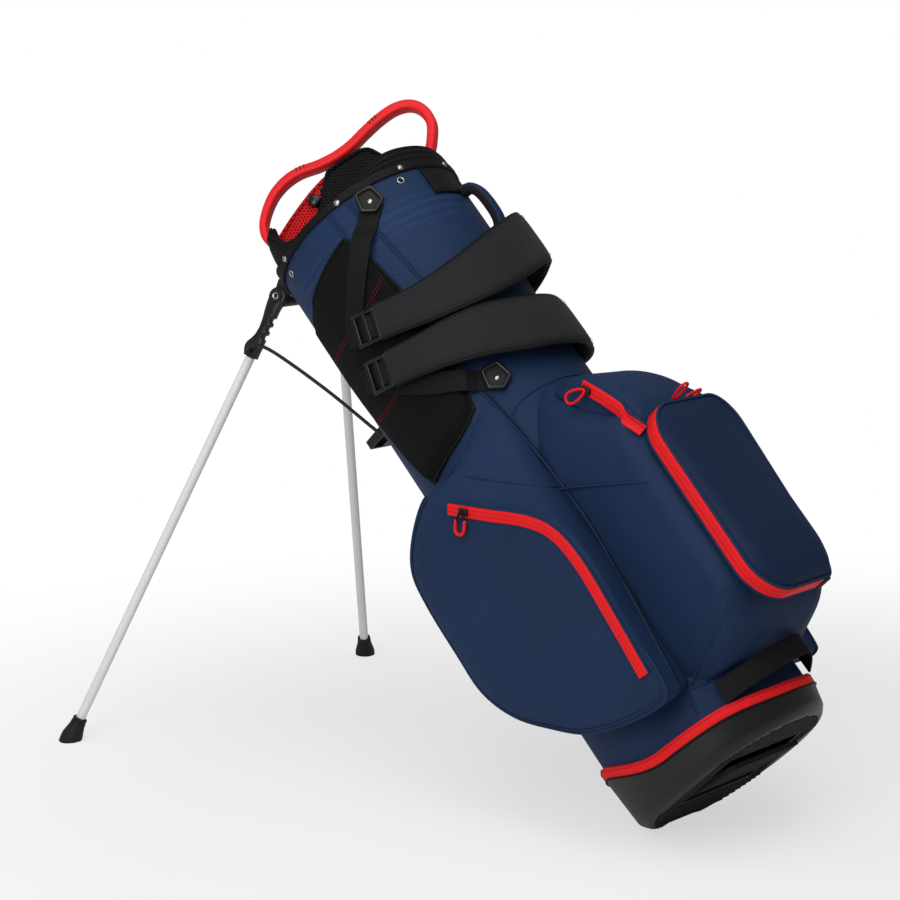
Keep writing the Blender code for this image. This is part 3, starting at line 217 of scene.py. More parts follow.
class Piece:
    """Gathers the faces of one piece in the bag's frame, with UVs in metres."""

    def __init__(self):
        self.shape = bmesh.new()
        self.uv = self.shape.loops.layers.uv.new("UVMap")

    def face(self, corners, places, slot=0):
        """One face with its UV places; a face that has lost its area is left out."""
        if len(set(corners)) < 3:
            return
        kept = [step for step, corner in enumerate(corners) if corner not in corners[:step]]
        face = self.shape.faces.new([corners[step] for step in kept])
        face.material_index = slot
        face.smooth = True
        for loop, step in zip(face.loops, kept):
            loop[self.uv].uv = places[step]

    def skin(self, rows, wrap=False, loop=False, slot=0, caps=(False, False), across=None, slots=None):
        """Skin rows of points; wrap closes each row and loop joins the last row to the first."""
        count = len(rows[0])
        spans = count if wrap else count - 1
        widths = []
        for row in rows:
            marks = [0.0]
            for step in range(spans):
                marks.append(marks[-1] + (row[(step + 1) % count] - row[step]).length)
            widths.append(across or marks)
        marks = [0.0]
        for step in range(len(rows) if loop else len(rows) - 1):
            after = rows[(step + 1) % len(rows)]
            marks.append(marks[-1] + sum((a - b).length for a, b in zip(rows[step], after)) / count)
        verts = [[self.shape.verts.new(point) for point in row] for row in rows]
        for row in range(len(marks) - 1):
            after = (row + 1) % len(rows)
            for step in range(spans):
                side = (step + 1) % count
                corners = (verts[row][step], verts[row][side], verts[after][side], verts[after][step])
                places = ((widths[row][step], marks[row]), (widths[row][step + 1], marks[row]),
                          (widths[after][step + 1], marks[row + 1]), (widths[after][step], marks[row + 1]))
                self.face(corners, places, slots(row, step) if slots else slot)
        for wanted, ring in zip(caps, (0, -1)):
            if wanted:
                middle = sum(rows[ring], Vector()) / count
                size = max((point - middle).length for point in rows[ring])
                places = [(size * math.cos(math.tau * step / count), size * math.sin(math.tau * step / count))
                          for step in range(count)]
                self.face(verts[ring], places, slots(len(rows) - 1 if ring else 0, 0) if slots else slot)
        return verts

    def cushion(self, front, back, slot=0, slots=None):
        """Two grids that share their border, closed into one pad."""
        top = self.skin(front, slot=slot, slots=slots)
        last, end = len(front) - 1, len(front[0]) - 1
        verts = []
        for row, points in enumerate(back):
            verts.append([top[row][step] if row in (0, last) or step in (0, end) else self.shape.verts.new(point)
                          for step, point in enumerate(points)])
        for row in range(last):
            for step in range(end):
                corners = (verts[row][step], verts[row + 1][step], verts[row + 1][step + 1], verts[row][step + 1])
                self.face(corners, [(0.002 * step, 0.002 * row)] * 4, slot)

    def sweep(self, path, ups, section, closed=False, slot=0, sizes=None, flat=True, slots=None):
        """A section of (across, up) points carried along a route."""
        rows = []
        for step, (point, along) in enumerate(zip(path, headings(path, closed))):
            up = (ups[step] - along * ups[step].dot(along)).normalized()
            side = along.cross(up)
            wide, high = sizes[step] if sizes else (1.0, 1.0)
            rows.append([point + side * (a * wide) + up * (h * high) for a, h in section])
        across = [a for a, h in section] + [section[0][0]] if flat else None
        self.skin(rows, True, closed, slot, (not closed, not closed), across, slots)

    def tube(self, path, radius, sides=8, closed=False, slot=0, ends=True):
        """A round cord along a route, with domed ends where it is open."""
        along = headings(path, closed)
        up = along[0].orthogonal().normalized()
        rows = []
        for step, (point, heading) in enumerate(zip(path, along)):
            up = (up - heading * up.dot(heading)).normalized()
            side = heading.cross(up)
            size = radius[step] if isinstance(radius, list) else radius
            rows.append([point + (up * math.cos(math.tau * turn / sides) + side * math.sin(math.tau * turn / sides))
                         * size for turn in range(sides)])
        if not closed and ends:
            for ring, heading in ((0, -along[0]), (-1, along[-1])):
                middle = path[ring]
                tip = [[middle + (point - middle) * scale + heading * (rows[ring][0] - middle).length * reach
                        for point in rows[ring]] for scale, reach in ((0.75, 0.6), (0.3, 0.95))]
                rows = tip[::-1] + rows if ring == 0 else rows + tip
        self.skin(rows, True, closed, slot, (not closed, not closed))

    def block(self, size, place, bevel=0.001, slot=0, steps=2):
        """A block with eased edges, centred on a frame."""
        made = bmesh.ops.create_cube(self.shape, size=1.0)["verts"]
        for vert in made:
            vert.co = Vector((vert.co.x * size[0], vert.co.y * size[1], vert.co.z * size[2]))
        self.ease_edges(made, bevel, steps, place, slot)

    def plate(self, outline, low, high, place, bevel=0.001, slot=0, steps=2):
        """An outline in x and z of a frame, given thickness along y, with eased edges."""
        rows = [[self.shape.verts.new(Vector((x, y, z))) for x, z in outline] for y in (low, high)]
        count = len(outline)
        faces = [self.shape.faces.new(rows[0]), self.shape.faces.new(rows[1][::-1])]
        for step in range(count):
            after = (step + 1) % count
            faces.append(self.shape.faces.new((rows[0][step], rows[1][step], rows[1][after], rows[0][after])))
        bmesh.ops.recalc_face_normals(self.shape, faces=faces)
        self.ease_edges(rows[0] + rows[1], bevel, steps, place, slot)

    def ease_edges(self, verts, bevel, steps, place, slot):
        """Round the edges of fresh verts, set their UVs and put them in place."""
        before = set(self.shape.faces) - {face for vert in verts for face in vert.link_faces}
        edges = list({edge for vert in verts for edge in vert.link_edges if len(edge.link_faces) == 2})
        if bevel:
            bmesh.ops.bevel(self.shape, geom=edges, offset=bevel, offset_type="OFFSET", segments=steps,
                            profile=0.5, affect="EDGES", clamp_overlap=True)
        fresh = [face for face in self.shape.faces if face not in before]
        for face in fresh:
            face.material_index = slot
            face.smooth = True
            flat = max(range(3), key=lambda axis: abs(face.normal[axis]))
            for loop in face.loops:
                loop[self.uv].uv = [loop.vert.co[axis] for axis in range(3) if axis != flat]
        for vert in {vert for face in fresh for vert in face.verts}:
            vert.co = place @ vert.co

    def item(self, name, place):
        """The gathered faces as an object whose place is in its mesh."""
        bmesh.ops.recalc_face_normals(self.shape, faces=self.shape.faces)
        mesh = bpy.data.meshes.new(name)
        self.shape.to_mesh(mesh)
        self.shape.free()
        mesh.transform(place)
        item = bpy.data.objects.new(name, mesh)
        bpy.context.scene.collection.objects.link(item)
        return item

    def make(self, name, materials, body, nodes=(), slot=None, sharp=38.0, place=BAG, levels=0, cut=()):
        """Turn the gathered faces into a finished piece that rides on a body."""
        item = self.item(name, place)
        for tool in cut:
            tool = tool.item(name + "_tool", place)
            away = item.modifiers.new("Cut", "BOOLEAN")
            away.solver, away.object = "EXACT", tool
            item.data = bpy.data.meshes.new_from_object(
                item.evaluated_get(bpy.context.evaluated_depsgraph_get()))
            item.modifiers.remove(away)
            bpy.data.objects.remove(tool)
        mesh = item.data
        for material in materials:
            mesh.materials.append(material)
        mesh.set_sharp_from_angle(angle=math.radians(sharp))
        if levels:
            smooth = item.modifiers.new("Soften", "SUBSURF")
            smooth.levels = smooth.render_levels = levels
        settle(item, body, nodes, slot)
        return item


def settle(item, body, nodes=(), slot=None):
    """Tie a finished piece to its body and hide the solids it stands for; its material slot is not used."""
    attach(item, body)
    if nodes:
        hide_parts(*nodes)


def from_frame(turn_x, turn_y, turn_z, origin):
    """A placing matrix from three directions and an origin."""
    return Matrix.Translation(origin) @ Matrix((turn_x, turn_y, turn_z)).transposed().to_4x4()


# Node trees

class Tree:
    """Adds nodes to one tree, of a material or of geometry."""

    def __init__(self, nodes):
        self.nodes = nodes

    def add(self, kind, settings=None, values=None, out=0):
        """Add a node, first its settings and then its values or links, and give one output."""
        node = self.nodes.nodes.new(kind)
        for key, value in (settings or {}).items():
            if key == "stops":
                ramp = node.color_ramp
                while len(ramp.elements) < len(value):
                    ramp.elements.new(1.0)
                for element, (position, colour) in zip(ramp.elements, value):
                    element.position, element.color = position, colour
            else:
                setattr(node, key, value)
        pairs = values.items() if isinstance(values, dict) else enumerate(values or [])
        for key, value in pairs:
            if value is None:
                continue
            target = node.inputs[key]
            if isinstance(value, Wire):
                self.nodes.links.new(value.socket, target)
            elif isinstance(value, bpy.types.NodeSocket):
                self.nodes.links.new(value, target)
            else:
                target.default_value = value
        return Wire(self, node.outputs[out]) if node.outputs else node


class Wire:
    """An output of a node; arithmetic on it adds Math nodes to its tree."""

    def __init__(self, tree, socket):
        self.tree = tree
        self.socket = socket

    def maths(self, operation, *others):
        return self.tree.add("ShaderNodeMath", {"operation": operation}, [self, *others])

    def __add__(self, other):
        return self.maths("ADD", other)

    __radd__ = __add__

    def __sub__(self, other):
        return self.maths("SUBTRACT", other)

    def __rsub__(self, other):
        return self.tree.add("ShaderNodeMath", {"operation": "SUBTRACT"}, [other, self])

    def __mul__(self, other):
        return self.maths("MULTIPLY", other)

    __rmul__ = __mul__

    def __truediv__(self, other):
        return self.maths("DIVIDE", other)

    def __rtruediv__(self, other):
        return self.tree.add("ShaderNodeMath", {"operation": "DIVIDE"}, [other, self])

    def __abs__(self):
        return self.maths("ABSOLUTE")

    def __lt__(self, other):
        return self.maths("LESS_THAN", other)

    def __gt__(self, other):
        return self.maths("GREATER_THAN", other)

    def wave(self, length):
        """A wave between 0 and 1 with one crest for each length."""
        return (self * (math.tau / length)).maths("SINE") * 0.5 + 0.5

    def within(self, low, high):
        """A soft step from 0 at low to 1 at high."""
        return self.tree.add("ShaderNodeMapRange", {"interpolation_type": "SMOOTHSTEP"},
                             {"Value": self, "From Min": low, "From Max": high})

    def cell(self, size):
        """Place inside a repeated cell, between -0.5 and 0.5."""
        return (self / size).maths("FRACT") - 0.5


class Paint(Tree):
    """One material, made of a Principled shader and the nodes that feed it."""

    def __init__(self, name):
        self.material = bpy.data.materials.new(name)
        self.material.use_nodes = True
        super().__init__(self.material.node_tree)
        self.shader = self.nodes.nodes["Principled BSDF"]
        self.places = self.add("ShaderNodeTexCoord", out=3)
        self.known = {}

    def axis(self, step, source="UVMap"):
        """One coordinate, of the piece's UVs or of its own space."""
        if source not in self.known:
            spot = self.add("ShaderNodeUVMap", {"uv_map": "UVMap"}) if source == "UVMap" else self.places
            self.known[source] = self.add("ShaderNodeSeparateXYZ", None, [spot]).socket.node
        return Wire(self, self.known[source].outputs[step])

    @property
    def u(self):
        """Distance across or around the piece."""
        return self.axis(0)

    @property
    def v(self):
        """Distance along the piece."""
        return self.axis(1)

    @property
    def height(self):
        """Height along the leaning trunk."""
        return self.axis(2, "Object") * math.cos(LEAN) - self.axis(0, "Object") * math.sin(LEAN) + HEEL.z

    def noise(self, scale, detail=3.0, rough=0.55):
        """Cloudy unevenness between 0 and 1."""
        return self.add("ShaderNodeTexNoise", None,
                        {"Vector": self.places, "Scale": scale, "Detail": detail, "Roughness": rough})

    def blend(self, share, first, second):
        """A colour between two others."""
        return self.add("ShaderNodeMix", {"data_type": "RGBA"}, {0: share, 6: first, 7: second}, out=2)

    def finish(self, colour, rough, height=None, depth=0.0004, strength=0.5, specular=0.1, **constants):
        """Link what varies, set what doesn't, and give the material."""
        self.shader.inputs["Specular IOR Level"].default_value = specular
        for name, value in (("Base Color", colour), ("Roughness", rough)):
            if isinstance(value, Wire):
                self.nodes.links.new(value.socket, self.shader.inputs[name])
            else:
                self.shader.inputs[name].default_value = value
        if height is not None:
            bump = self.add("ShaderNodeBump", None, {"Strength": strength, "Distance": depth, "Height": height})
            self.nodes.links.new(bump.socket, self.shader.inputs["Normal"])
        for name, value in constants.items():
            self.shader.inputs[name.replace("_", " ").title()].default_value = value
        return self.material


def tint(colour, share):
    """A colour made lighter or darker."""
    return tuple(min(part * share, 1.0) for part in colour[:3]) + (1.0,)


# Finishes

def shade(name):
    """A colour of the bag from its settings."""
    return tuple(getattr(bpy.context.scene.stand_bag_colours, name)) + (1.0,)


def measure(name):
    """A size of the bag from its settings."""
    return getattr(bpy.context.scene.stand_bag_sizes, name)


def hexes(paint, cell):
    """A honeycomb over the UVs: 0 in the middle of a hole and 1 on the threads."""
    x, y, tall = paint.u / cell, paint.v / cell, math.sqrt(3.0)
    found = []
    for shift in (0.0, 0.5):
        across = abs((x + shift).cell(1.0))
        up = abs((y / tall + shift).cell(1.0)) * tall
        found.append(across.maths("MAXIMUM", across * 0.5 + up * (tall / 2)))
    return found[0].maths("MINIMUM", found[1]).within(0.27, 0.43)


def navy_cloth(name, depth=1.0):
    """Polyester twill with a soft sheen, a little unevenly dyed; a depth below 1 darkens the whole cloth into a copy
    with painted shade.
    """
    paint = Paint(name)
    navy = shade("navy")
    twill = (paint.u + paint.v).wave(0.0021) * 0.6 + (paint.u - paint.v).wave(0.0047) * 0.4
    clouds = paint.noise(9.0, 4.0)
    base = paint.blend(twill * 0.35 + clouds * 0.65, tint(navy, 0.66 * depth), tint(navy, 1.3 * depth))
    slack = paint.noise(13.0, 3.0, 0.6) * 9.0 + paint.noise(38.0) * 2.2
    return paint.finish(base, clouds * 0.2 + 0.45, twill + slack, 0.00035, 0.45,
                        sheen_weight=0.08, sheen_roughness=0.4, sheen_tint=tint(navy, 6.0))


def cuff_cloth(name):
    """Navy dobby with small raised bars and three tonal stripes running round the cuff."""
    paint = Paint(name)
    navy = shade("navy")
    height = paint.height
    row = (height / 0.0034).maths("FLOOR")
    bars = abs((paint.u / 0.0062 + row * 0.5).cell(1.0)).within(0.42, 0.3)
    bars = bars * abs(height.cell(0.0034)).within(0.42, 0.28)
    clouds = paint.noise(9.0, 4.0)
    stripes = abs((height - 0.745).cell(0.013)).within(0.24, 0.2) * abs(height - 0.771).within(0.0200, 0.0195)
    base = paint.blend(bars * 0.45 + clouds * 0.55, tint(navy, 0.72), tint(navy, 1.5))
    base = paint.blend(stripes * 0.28, base, tint(navy, 2.1))
    return paint.finish(base, clouds * 0.2 + 0.4, bars + paint.noise(45.0) * 1.2, 0.0003, 0.45,
                        sheen_weight=0.1, sheen_roughness=0.4, sheen_tint=tint(navy, 6.0))


def plain_cord(name, colour, rough=0.6, twist=0.003):
    """Cord or piping with a fine twist that shows as slanting threads."""
    paint = Paint(name)
    axes = paint.add("ShaderNodeSeparateXYZ", None, [paint.places])
    y, z = (Wire(paint, axes.socket.node.outputs[step]) for step in (1, 2))
    threads = (axes + y * 1.3 + z * 0.7).wave(twist)
    base = paint.blend(threads * 0.5 + paint.noise(60.0) * 0.5, tint(colour, 0.7), tint(colour, 1.25))
    return paint.finish(base, rough, threads, 0.0002, 0.4)


def spacer_mesh(name, colour, hole):
    """Spacer mesh with a honeycomb of holes over a darker ground."""
    paint = Paint(name)
    thread = hexes(paint, measure("mesh_cell"))
    clouds = paint.noise(25.0)
    base = paint.blend(thread, hole, paint.blend(clouds, tint(colour, 0.75), tint(colour, 1.3)))
    return paint.finish(base, 0.75 - thread * 0.2, thread + clouds * 0.4, 0.0009, 0.7)


def hip_mesh(name):
    """Spacer mesh of the hip pad: honeycomb outside, fine level ribs across its middle field."""
    paint = Paint(name)
    black = shade("black")
    thread = hexes(paint, measure("mesh_cell"))
    field = abs(paint.height - 0.637).within(0.053, 0.051)
    ribs = paint.height.wave(0.0034)
    relief = paint.add("ShaderNodeMix", None, {0: field, 2: thread, 3: ribs})
    clouds = paint.noise(18.0)
    base = paint.blend(relief * 0.75 + clouds * 0.25, tint(black, 0.15), tint(black, 0.85))
    return paint.finish(base, 0.7, relief + clouds * 0.5, 0.0008, 0.7)


def webbing(name, colour, pitch=0.0024):
    """Woven strap with level ribs, a herringbone inside them and firm edges."""
    paint = Paint(name)
    ribs = (paint.v + abs(paint.u) * 0.35).wave(pitch)
    threads = paint.u.wave(0.0026)
    relief = ribs * 0.7 + threads * 0.3
    base = paint.blend(relief * 0.6 + paint.noise(40.0) * 0.4, tint(colour, 0.4), tint(colour, 1.35))
    return paint.finish(base, 0.6, relief, 0.0005, 0.55)


def pad_cloth(name, colour):
    """Charcoal pad cloth with a tight twill and a dull nap."""
    paint = Paint(name)
    twill = (paint.u * 0.8 + paint.v).wave(0.0024)
    clouds = paint.noise(14.0, 4.0)
    base = paint.blend(twill * 0.35 + clouds * 0.65, tint(colour, 0.6), tint(colour, 1.4))
    return paint.finish(base, clouds * 0.15 + 0.62, twill + paint.noise(16.0) * 5.0 + paint.noise(70.0) * 0.8, 0.0003,
                        0.45, sheen_weight=0.05, sheen_roughness=0.5)


def zip_tape(name, colour):
    """Zip tape: a toothed coil in the middle, a groove on each side of it and twilled tape outside."""
    paint = Paint(name)
    side = abs(paint.u)
    coil = side.within(0.0021, 0.0015)
    groove = abs(side - 0.0027).within(0.0008, 0.0003)
    seam = abs(side - 0.0056).within(0.0005, 0.0002)
    teeth = paint.v.wave(0.0017)
    twill = (paint.v + side).wave(0.0019)
    relief = coil * (teeth * 0.6 + 0.9) + twill * 0.2 - groove * 0.8 - seam * 0.4
    base = paint.blend(paint.noise(30.0) * 0.5 + twill * 0.3, tint(colour, 0.92), tint(colour, 1.15))
    base = paint.blend(groove * 0.45 + seam * 0.2, base, tint(colour, 0.4))
    base = paint.blend(coil * (1.0 - teeth) * 0.3, base, tint(colour, 0.5))
    return paint.finish(base, 0.5 - coil * 0.12, relief, 0.0004, 0.5)


def moulded(name, colour, rough=0.35, grain=420.0, coat=0.0, spread=0.2, relief=0.3, specular=0.35):
    """Moulded plastic with a fine grain, and rubbed a little lighter in places."""
    paint = Paint(name)
    wear = paint.noise(16.0, 4.0)
    base = paint.blend(wear, tint(colour, 1.0 - spread), tint(colour, 1.0 + spread))
    fine = paint.noise(grain, 2.0)
    return paint.finish(base, wear * 0.16 + (rough - 0.08), fine + wear * 2.0, 0.0001, relief, specular,
                        coat_weight=coat, coat_roughness=0.18)


def metal(name, colour, rough, metallic=1.0):
    """Plated or blackened steel, brushed and slightly stained."""
    paint = Paint(name)
    stain = paint.noise(45.0, 4.0)
    base = paint.blend(stain, tint(colour, 0.8), tint(colour, 1.15))
    return paint.finish(base, stain * 0.15 + rough, paint.noise(260.0, 2.0), 0.00006, 0.3, 0.4, metallic=metallic)


def leatherette(name, colour):
    """Embossed leatherette of the patch, with a pebbled grain."""
    paint = Paint(name)
    pebble = paint.add("ShaderNodeTexVoronoi", {"feature": "DISTANCE_TO_EDGE"},
                       {"Vector": paint.places, "Scale": 620.0})
    grain = pebble.within(0.0, 0.3)
    base = paint.blend(grain * 0.6 + paint.noise(40.0) * 0.4, tint(colour, 0.55), tint(colour, 1.5))
    return paint.finish(base, 0.5 - grain * 0.12, grain, 0.0003, 0.5)


def trim_cloth(name, colour):
    """Grosgrain of the band above the boot, with ribs along the trunk."""
    paint = Paint(name)
    ribs = paint.u.wave(0.0024)
    base = paint.blend(ribs * 0.4 + paint.noise(24.0) * 0.6, tint(colour, 0.8), tint(colour, 1.14))
    return paint.finish(base, 0.52, ribs + paint.noise(50.0), 0.0003, 0.45)


FINISHES = {
    "navy_cloth": lambda name: navy_cloth(name),
    # A darker copy of the navy cloth: painted shade on the ball pocket's face.
    "navy_dark": lambda name: navy_cloth(name, 0.72),
    "navy_cuff": lambda name: cuff_cloth(name),
    "navy_cord": lambda name: plain_cord(name, tint(shade("navy"), 1.05)),
    "navy_thread": lambda name: plain_cord(name, tint(shade("navy"), 2.6), 0.5, 0.0012),
    "dark_cord": lambda name: plain_cord(name, tint(shade("black"), 0.8), 0.5),
    "dark_thread": lambda name: plain_cord(name, tint(shade("black"), 3.2), 0.6, 0.0012),
    "red_thread": lambda name: plain_cord(name, tint(shade("red"), 0.5), 0.5, 0.0012),
    "red_cord": lambda name: plain_cord(name, shade("red"), 0.45, 0.0022),
    "red_mesh": lambda name: spacer_mesh(name, shade("red"), tint(shade("red"), 0.3)),
    "black_mesh": lambda name: spacer_mesh(name, tint(shade("black"), 1.2), tint(shade("black"), 0.15)),
    "hip_mesh": hip_mesh,
    "black_web": lambda name: webbing(name, shade("black")),
    "pad_cloth": lambda name: pad_cloth(name, tint(shade("black"), 2.0)),
    "pad_edge": lambda name: pad_cloth(name, tint(shade("black"), 1.1)),
    "binding": lambda name: moulded(name, tint(shade("black"), 0.6), 0.58, 300.0, relief=0.15, specular=0.15),
    "red_zip": lambda name: zip_tape(name, shade("red")),
    "red_moulding": lambda name: moulded(name, shade("red"), 0.40, 200.0, 0.04, 0.06, 0.05, 0.18),
    "red_band": lambda name: trim_cloth(name, shade("red")),
    "boot_plastic": lambda name: moulded(name, tint(shade("black"), 0.9), 0.38, 260.0, relief=0.2),
    "gloss_plastic": lambda name: moulded(name, tint(shade("black"), 0.7), 0.24, 300.0, 0.1, relief=0.12),
    "rubber": lambda name: moulded(name, tint(shade("black"), 1.2), 0.6, 180.0, specular=0.25),
    "white_lacquer": lambda name: moulded(name, shade("leg"), 0.42, 60.0, 0.1, 0.02, 0.003),
    "black_steel": lambda name: metal(name, tint(shade("black"), 1.1), 0.32, 0.6),
    "nickel": lambda name: metal(name, (0.46, 0.46, 0.45, 1.0), 0.24),
    "lining": lambda name: pad_cloth(name, tint(shade("black"), 1.1)),
    "leatherette": lambda name: leatherette(name, shade("black")),
}


def finish(name):
    """A finish of the bag, made when it is first asked for."""
    return bpy.data.materials.get(name) or FINISHES[name](name)


def finishes(*names):
    """Several finishes in order."""
    return [finish(name) for name in names]


# Geometry Nodes trees for what repeats or follows a route

def new_tree(name, inputs):
    """A geometry tree with named inputs; gives the tree, its builder and its input sockets."""
    nodes = bpy.data.node_groups.new(name, "GeometryNodeTree")
    nodes.interface.new_socket(name="Geometry", in_out="INPUT", socket_type="NodeSocketGeometry")
    for label, kind in inputs.items():
        nodes.interface.new_socket(name=label, in_out="INPUT", socket_type="NodeSocket" + kind)
    nodes.interface.new_socket(name="Geometry", in_out="OUTPUT", socket_type="NodeSocketGeometry")
    entry = nodes.nodes.new("NodeGroupInput")
    return nodes, Tree(nodes), entry.outputs


def close_tree(tree, geometry, material):
    """End a geometry tree in realized, painted faces with smooth shading."""
    solid = tree.add("GeometryNodeRealizeInstances", None, [geometry])
    smooth = tree.add("GeometryNodeSetShadeSmooth", None, [solid])
    painted = tree.add("GeometryNodeSetMaterial", None, {"Geometry": smooth, "Material": material})
    tree.add("NodeGroupOutput", None, [painted])


def stitch_tree():
    """Rows of thread, each stitch a small bead laid along its route."""
    nodes, tree, given = new_tree("Stitch rows", {"Pitch": "Float", "Length": "Float", "Thread": "Float",
                                                  "Material": "Material"})
    line = tree.add("GeometryNodeMeshToCurve", None, [given["Geometry"]])
    spread = tree.add("GeometryNodeResampleCurve", {"mode": "LENGTH"}, {"Curve": line, "Length": given["Pitch"]})
    bead = tree.add("GeometryNodeMeshIcoSphere", None, {"Radius": 0.5, "Subdivisions": 1})
    size = tree.add("ShaderNodeCombineXYZ", None, [given["Length"], given["Thread"], given["Thread"]])
    way = tree.add("GeometryNodeInputTangent")
    turn = tree.add("FunctionNodeAlignRotationToVector", {"axis": "X"}, {"Vector": way})
    laid = tree.add("GeometryNodeInstanceOnPoints", None,
                    {"Points": spread, "Instance": bead, "Rotation": turn, "Scale": size})
    close_tree(tree, laid, given["Material"])
    return nodes


def cord_tree():
    """Round cords along routes: piping, ribs and beads of moulding."""
    nodes, tree, given = new_tree("Cords", {"Radius": "Float", "Sides": "Int", "Material": "Material"})
    line = tree.add("GeometryNodeMeshToCurve", None, [given["Geometry"]])
    ring = tree.add("GeometryNodeCurvePrimitiveCircle", None,
                    {"Resolution": given["Sides"], "Radius": given["Radius"]})
    tube = tree.add("GeometryNodeCurveToMesh", None, {"Curve": line, "Profile Curve": ring, "Fill Caps": True})
    close_tree(tree, tube, given["Material"])
    return nodes


def stud_tree():
    """Domed rivets on points, each turned to the point's facing."""
    nodes, tree, given = new_tree("Studs", {"Radius": "Float", "Rise": "Float", "Material": "Material"})
    dome = tree.add("GeometryNodeMeshUVSphere", None, {"Segments": 16, "Rings": 8, "Radius": 1.0})
    facing = tree.add("GeometryNodeInputNamedAttribute", {"data_type": "FLOAT_VECTOR"}, {"Name": "facing"})
    turn = tree.add("FunctionNodeAlignRotationToVector", {"axis": "Z"}, {"Vector": facing})
    size = tree.add("ShaderNodeCombineXYZ", None, [given["Radius"], given["Radius"], given["Rise"]])
    points = tree.add("GeometryNodeMeshToPoints", None, [given["Geometry"]])
    laid = tree.add("GeometryNodeInstanceOnPoints", None,
                    {"Points": points, "Instance": dome, "Rotation": turn, "Scale": size})
    close_tree(tree, laid, given["Material"])
    return nodes


def eyelet_tree():
    """Rolled metal rings on points, each turned to the point's facing."""
    nodes, tree, given = new_tree("Eyelets", {"Radius": "Float", "Wire": "Float", "Material": "Material"})
    ring = tree.add("GeometryNodeCurvePrimitiveCircle", None, {"Resolution": 20, "Radius": given["Radius"]})
    wire = tree.add("GeometryNodeCurvePrimitiveCircle", None, {"Resolution": 8, "Radius": given["Wire"]})
    rolled = tree.add("GeometryNodeCurveToMesh", None, {"Curve": ring, "Profile Curve": wire})
    facing = tree.add("GeometryNodeInputNamedAttribute", {"data_type": "FLOAT_VECTOR"}, {"Name": "facing"})
    turn = tree.add("FunctionNodeAlignRotationToVector", {"axis": "Z"}, {"Vector": facing})
    points = tree.add("GeometryNodeMeshToPoints", None, [given["Geometry"]])
    laid = tree.add("GeometryNodeInstanceOnPoints", None,
                    {"Points": points, "Instance": rolled, "Rotation": turn})
    close_tree(tree, laid, given["Material"])
    return nodes


TREES = {"Stitch rows": stitch_tree, "Cords": cord_tree, "Studs": stud_tree, "Eyelets": eyelet_tree}


def grow(name, seed, kind, values, body, slot):
    """Run a geometry tree on a seed mesh and keep the result as one plain piece."""
    nodes = bpy.data.node_groups.get(kind) or TREES[kind]()
    source = bpy.data.objects.new(name + "_seed", seed)
    bpy.context.scene.collection.objects.link(source)
    modifier = source.modifiers.new(kind, "NODES")
    modifier.node_group = nodes
    for item in nodes.interface.items_tree:
        if item.in_out == "INPUT" and item.name in values:
            modifier[item.identifier] = values[item.name]
    shown = source.evaluated_get(bpy.context.evaluated_depsgraph_get())
    mesh = bpy.data.meshes.new_from_object(shown)
    mesh.name = name
    bpy.data.objects.remove(source)
    shape = bmesh.new()
    shape.from_mesh(mesh)
    bmesh.ops.recalc_face_normals(shape, faces=shape.faces)
    shape.to_mesh(mesh)
    shape.free()
    if not mesh.polygons:
        raise RuntimeError(name + " came out empty")
    item = bpy.data.objects.new(name, mesh)
    bpy.context.scene.collection.objects.link(item)
    settle(item, body, (), slot)
    return item


def line_mesh(name, routes, place=BAG, closed=False):
    """Routes as loose edges, laid into the leaning bag."""
    mesh = bpy.data.meshes.new(name)
    points, edges = [], []
    for route in routes:
        start = len(points)
        points += [place @ Vector(point) for point in route]
        edges += [(step, step + 1) for step in range(start, len(points) - 1)]
        if closed:
            edges.append((len(points) - 1, start))
    mesh.from_pydata(points, edges, [])
    return mesh


def stitches(name, routes, material, slot, body="bag", share=1.0, place=BAG):
    """Rows of stitches along routes; share makes them finer or stouter."""
    pitch = measure("stitch_pitch")
    values = {"Pitch": pitch, "Length": pitch * 0.78, "Thread": measure("thread") * share, "Material": finish(material)}
    return grow(name, line_mesh(name, routes, place), "Stitch rows", values, body, slot)


def cords(name, routes, radius, material, slot, body="bag", sides=8, closed=False, place=BAG):
    """Piping or ribs along routes."""
    values = {"Radius": radius, "Sides": sides, "Material": finish(material)}
    return grow(name, line_mesh(name, routes, place, closed), "Cords", values, body, slot)


def fittings(name, kind, places, values, material, slot, body="bag"):
    """Rivets or eyelets at (point, facing) places of the bag."""
    mesh = bpy.data.meshes.new(name)
    mesh.from_pydata([BAG @ point for point, facing in places], [], [])
    facings = mesh.attributes.new("facing", "FLOAT_VECTOR", "POINT")
    for step, (point, facing) in enumerate(places):
        facings.data[step].vector = BAG.to_3x3() @ facing
    return grow(name, mesh, kind, {**values, "Material": finish(material)}, body, slot)


def on_trunk(rows, radius, steps=6):
    """A seam that lies on the trunk along rows of (angle, height)."""
    return about_trunk([(angle, radius - TRUNK, height) for angle, height in rows], steps)


# Base

ROUND = [-180.0 + 2.5 * step for step in range(144)]


def grounded(point):
    """A point brought up to the floor where it would sink below it."""
    return point + GROUND_UP * max(0.0, -(BAG @ point).z)


def lathe(profile, angles=ROUND):
    """Rings about the trunk from (radius, height rule) pairs."""
    return [[grounded(polar(radius, angle, rise(angle) if callable(rise) else rise)) for angle in angles]
            for radius, rise in profile]


def above_boot(share, extra=0.0):
    """Height rule between the sole's edge and the top of the boot."""
    return lambda angle: 0.014 + (boot_height(angle) - 0.014) * share + extra


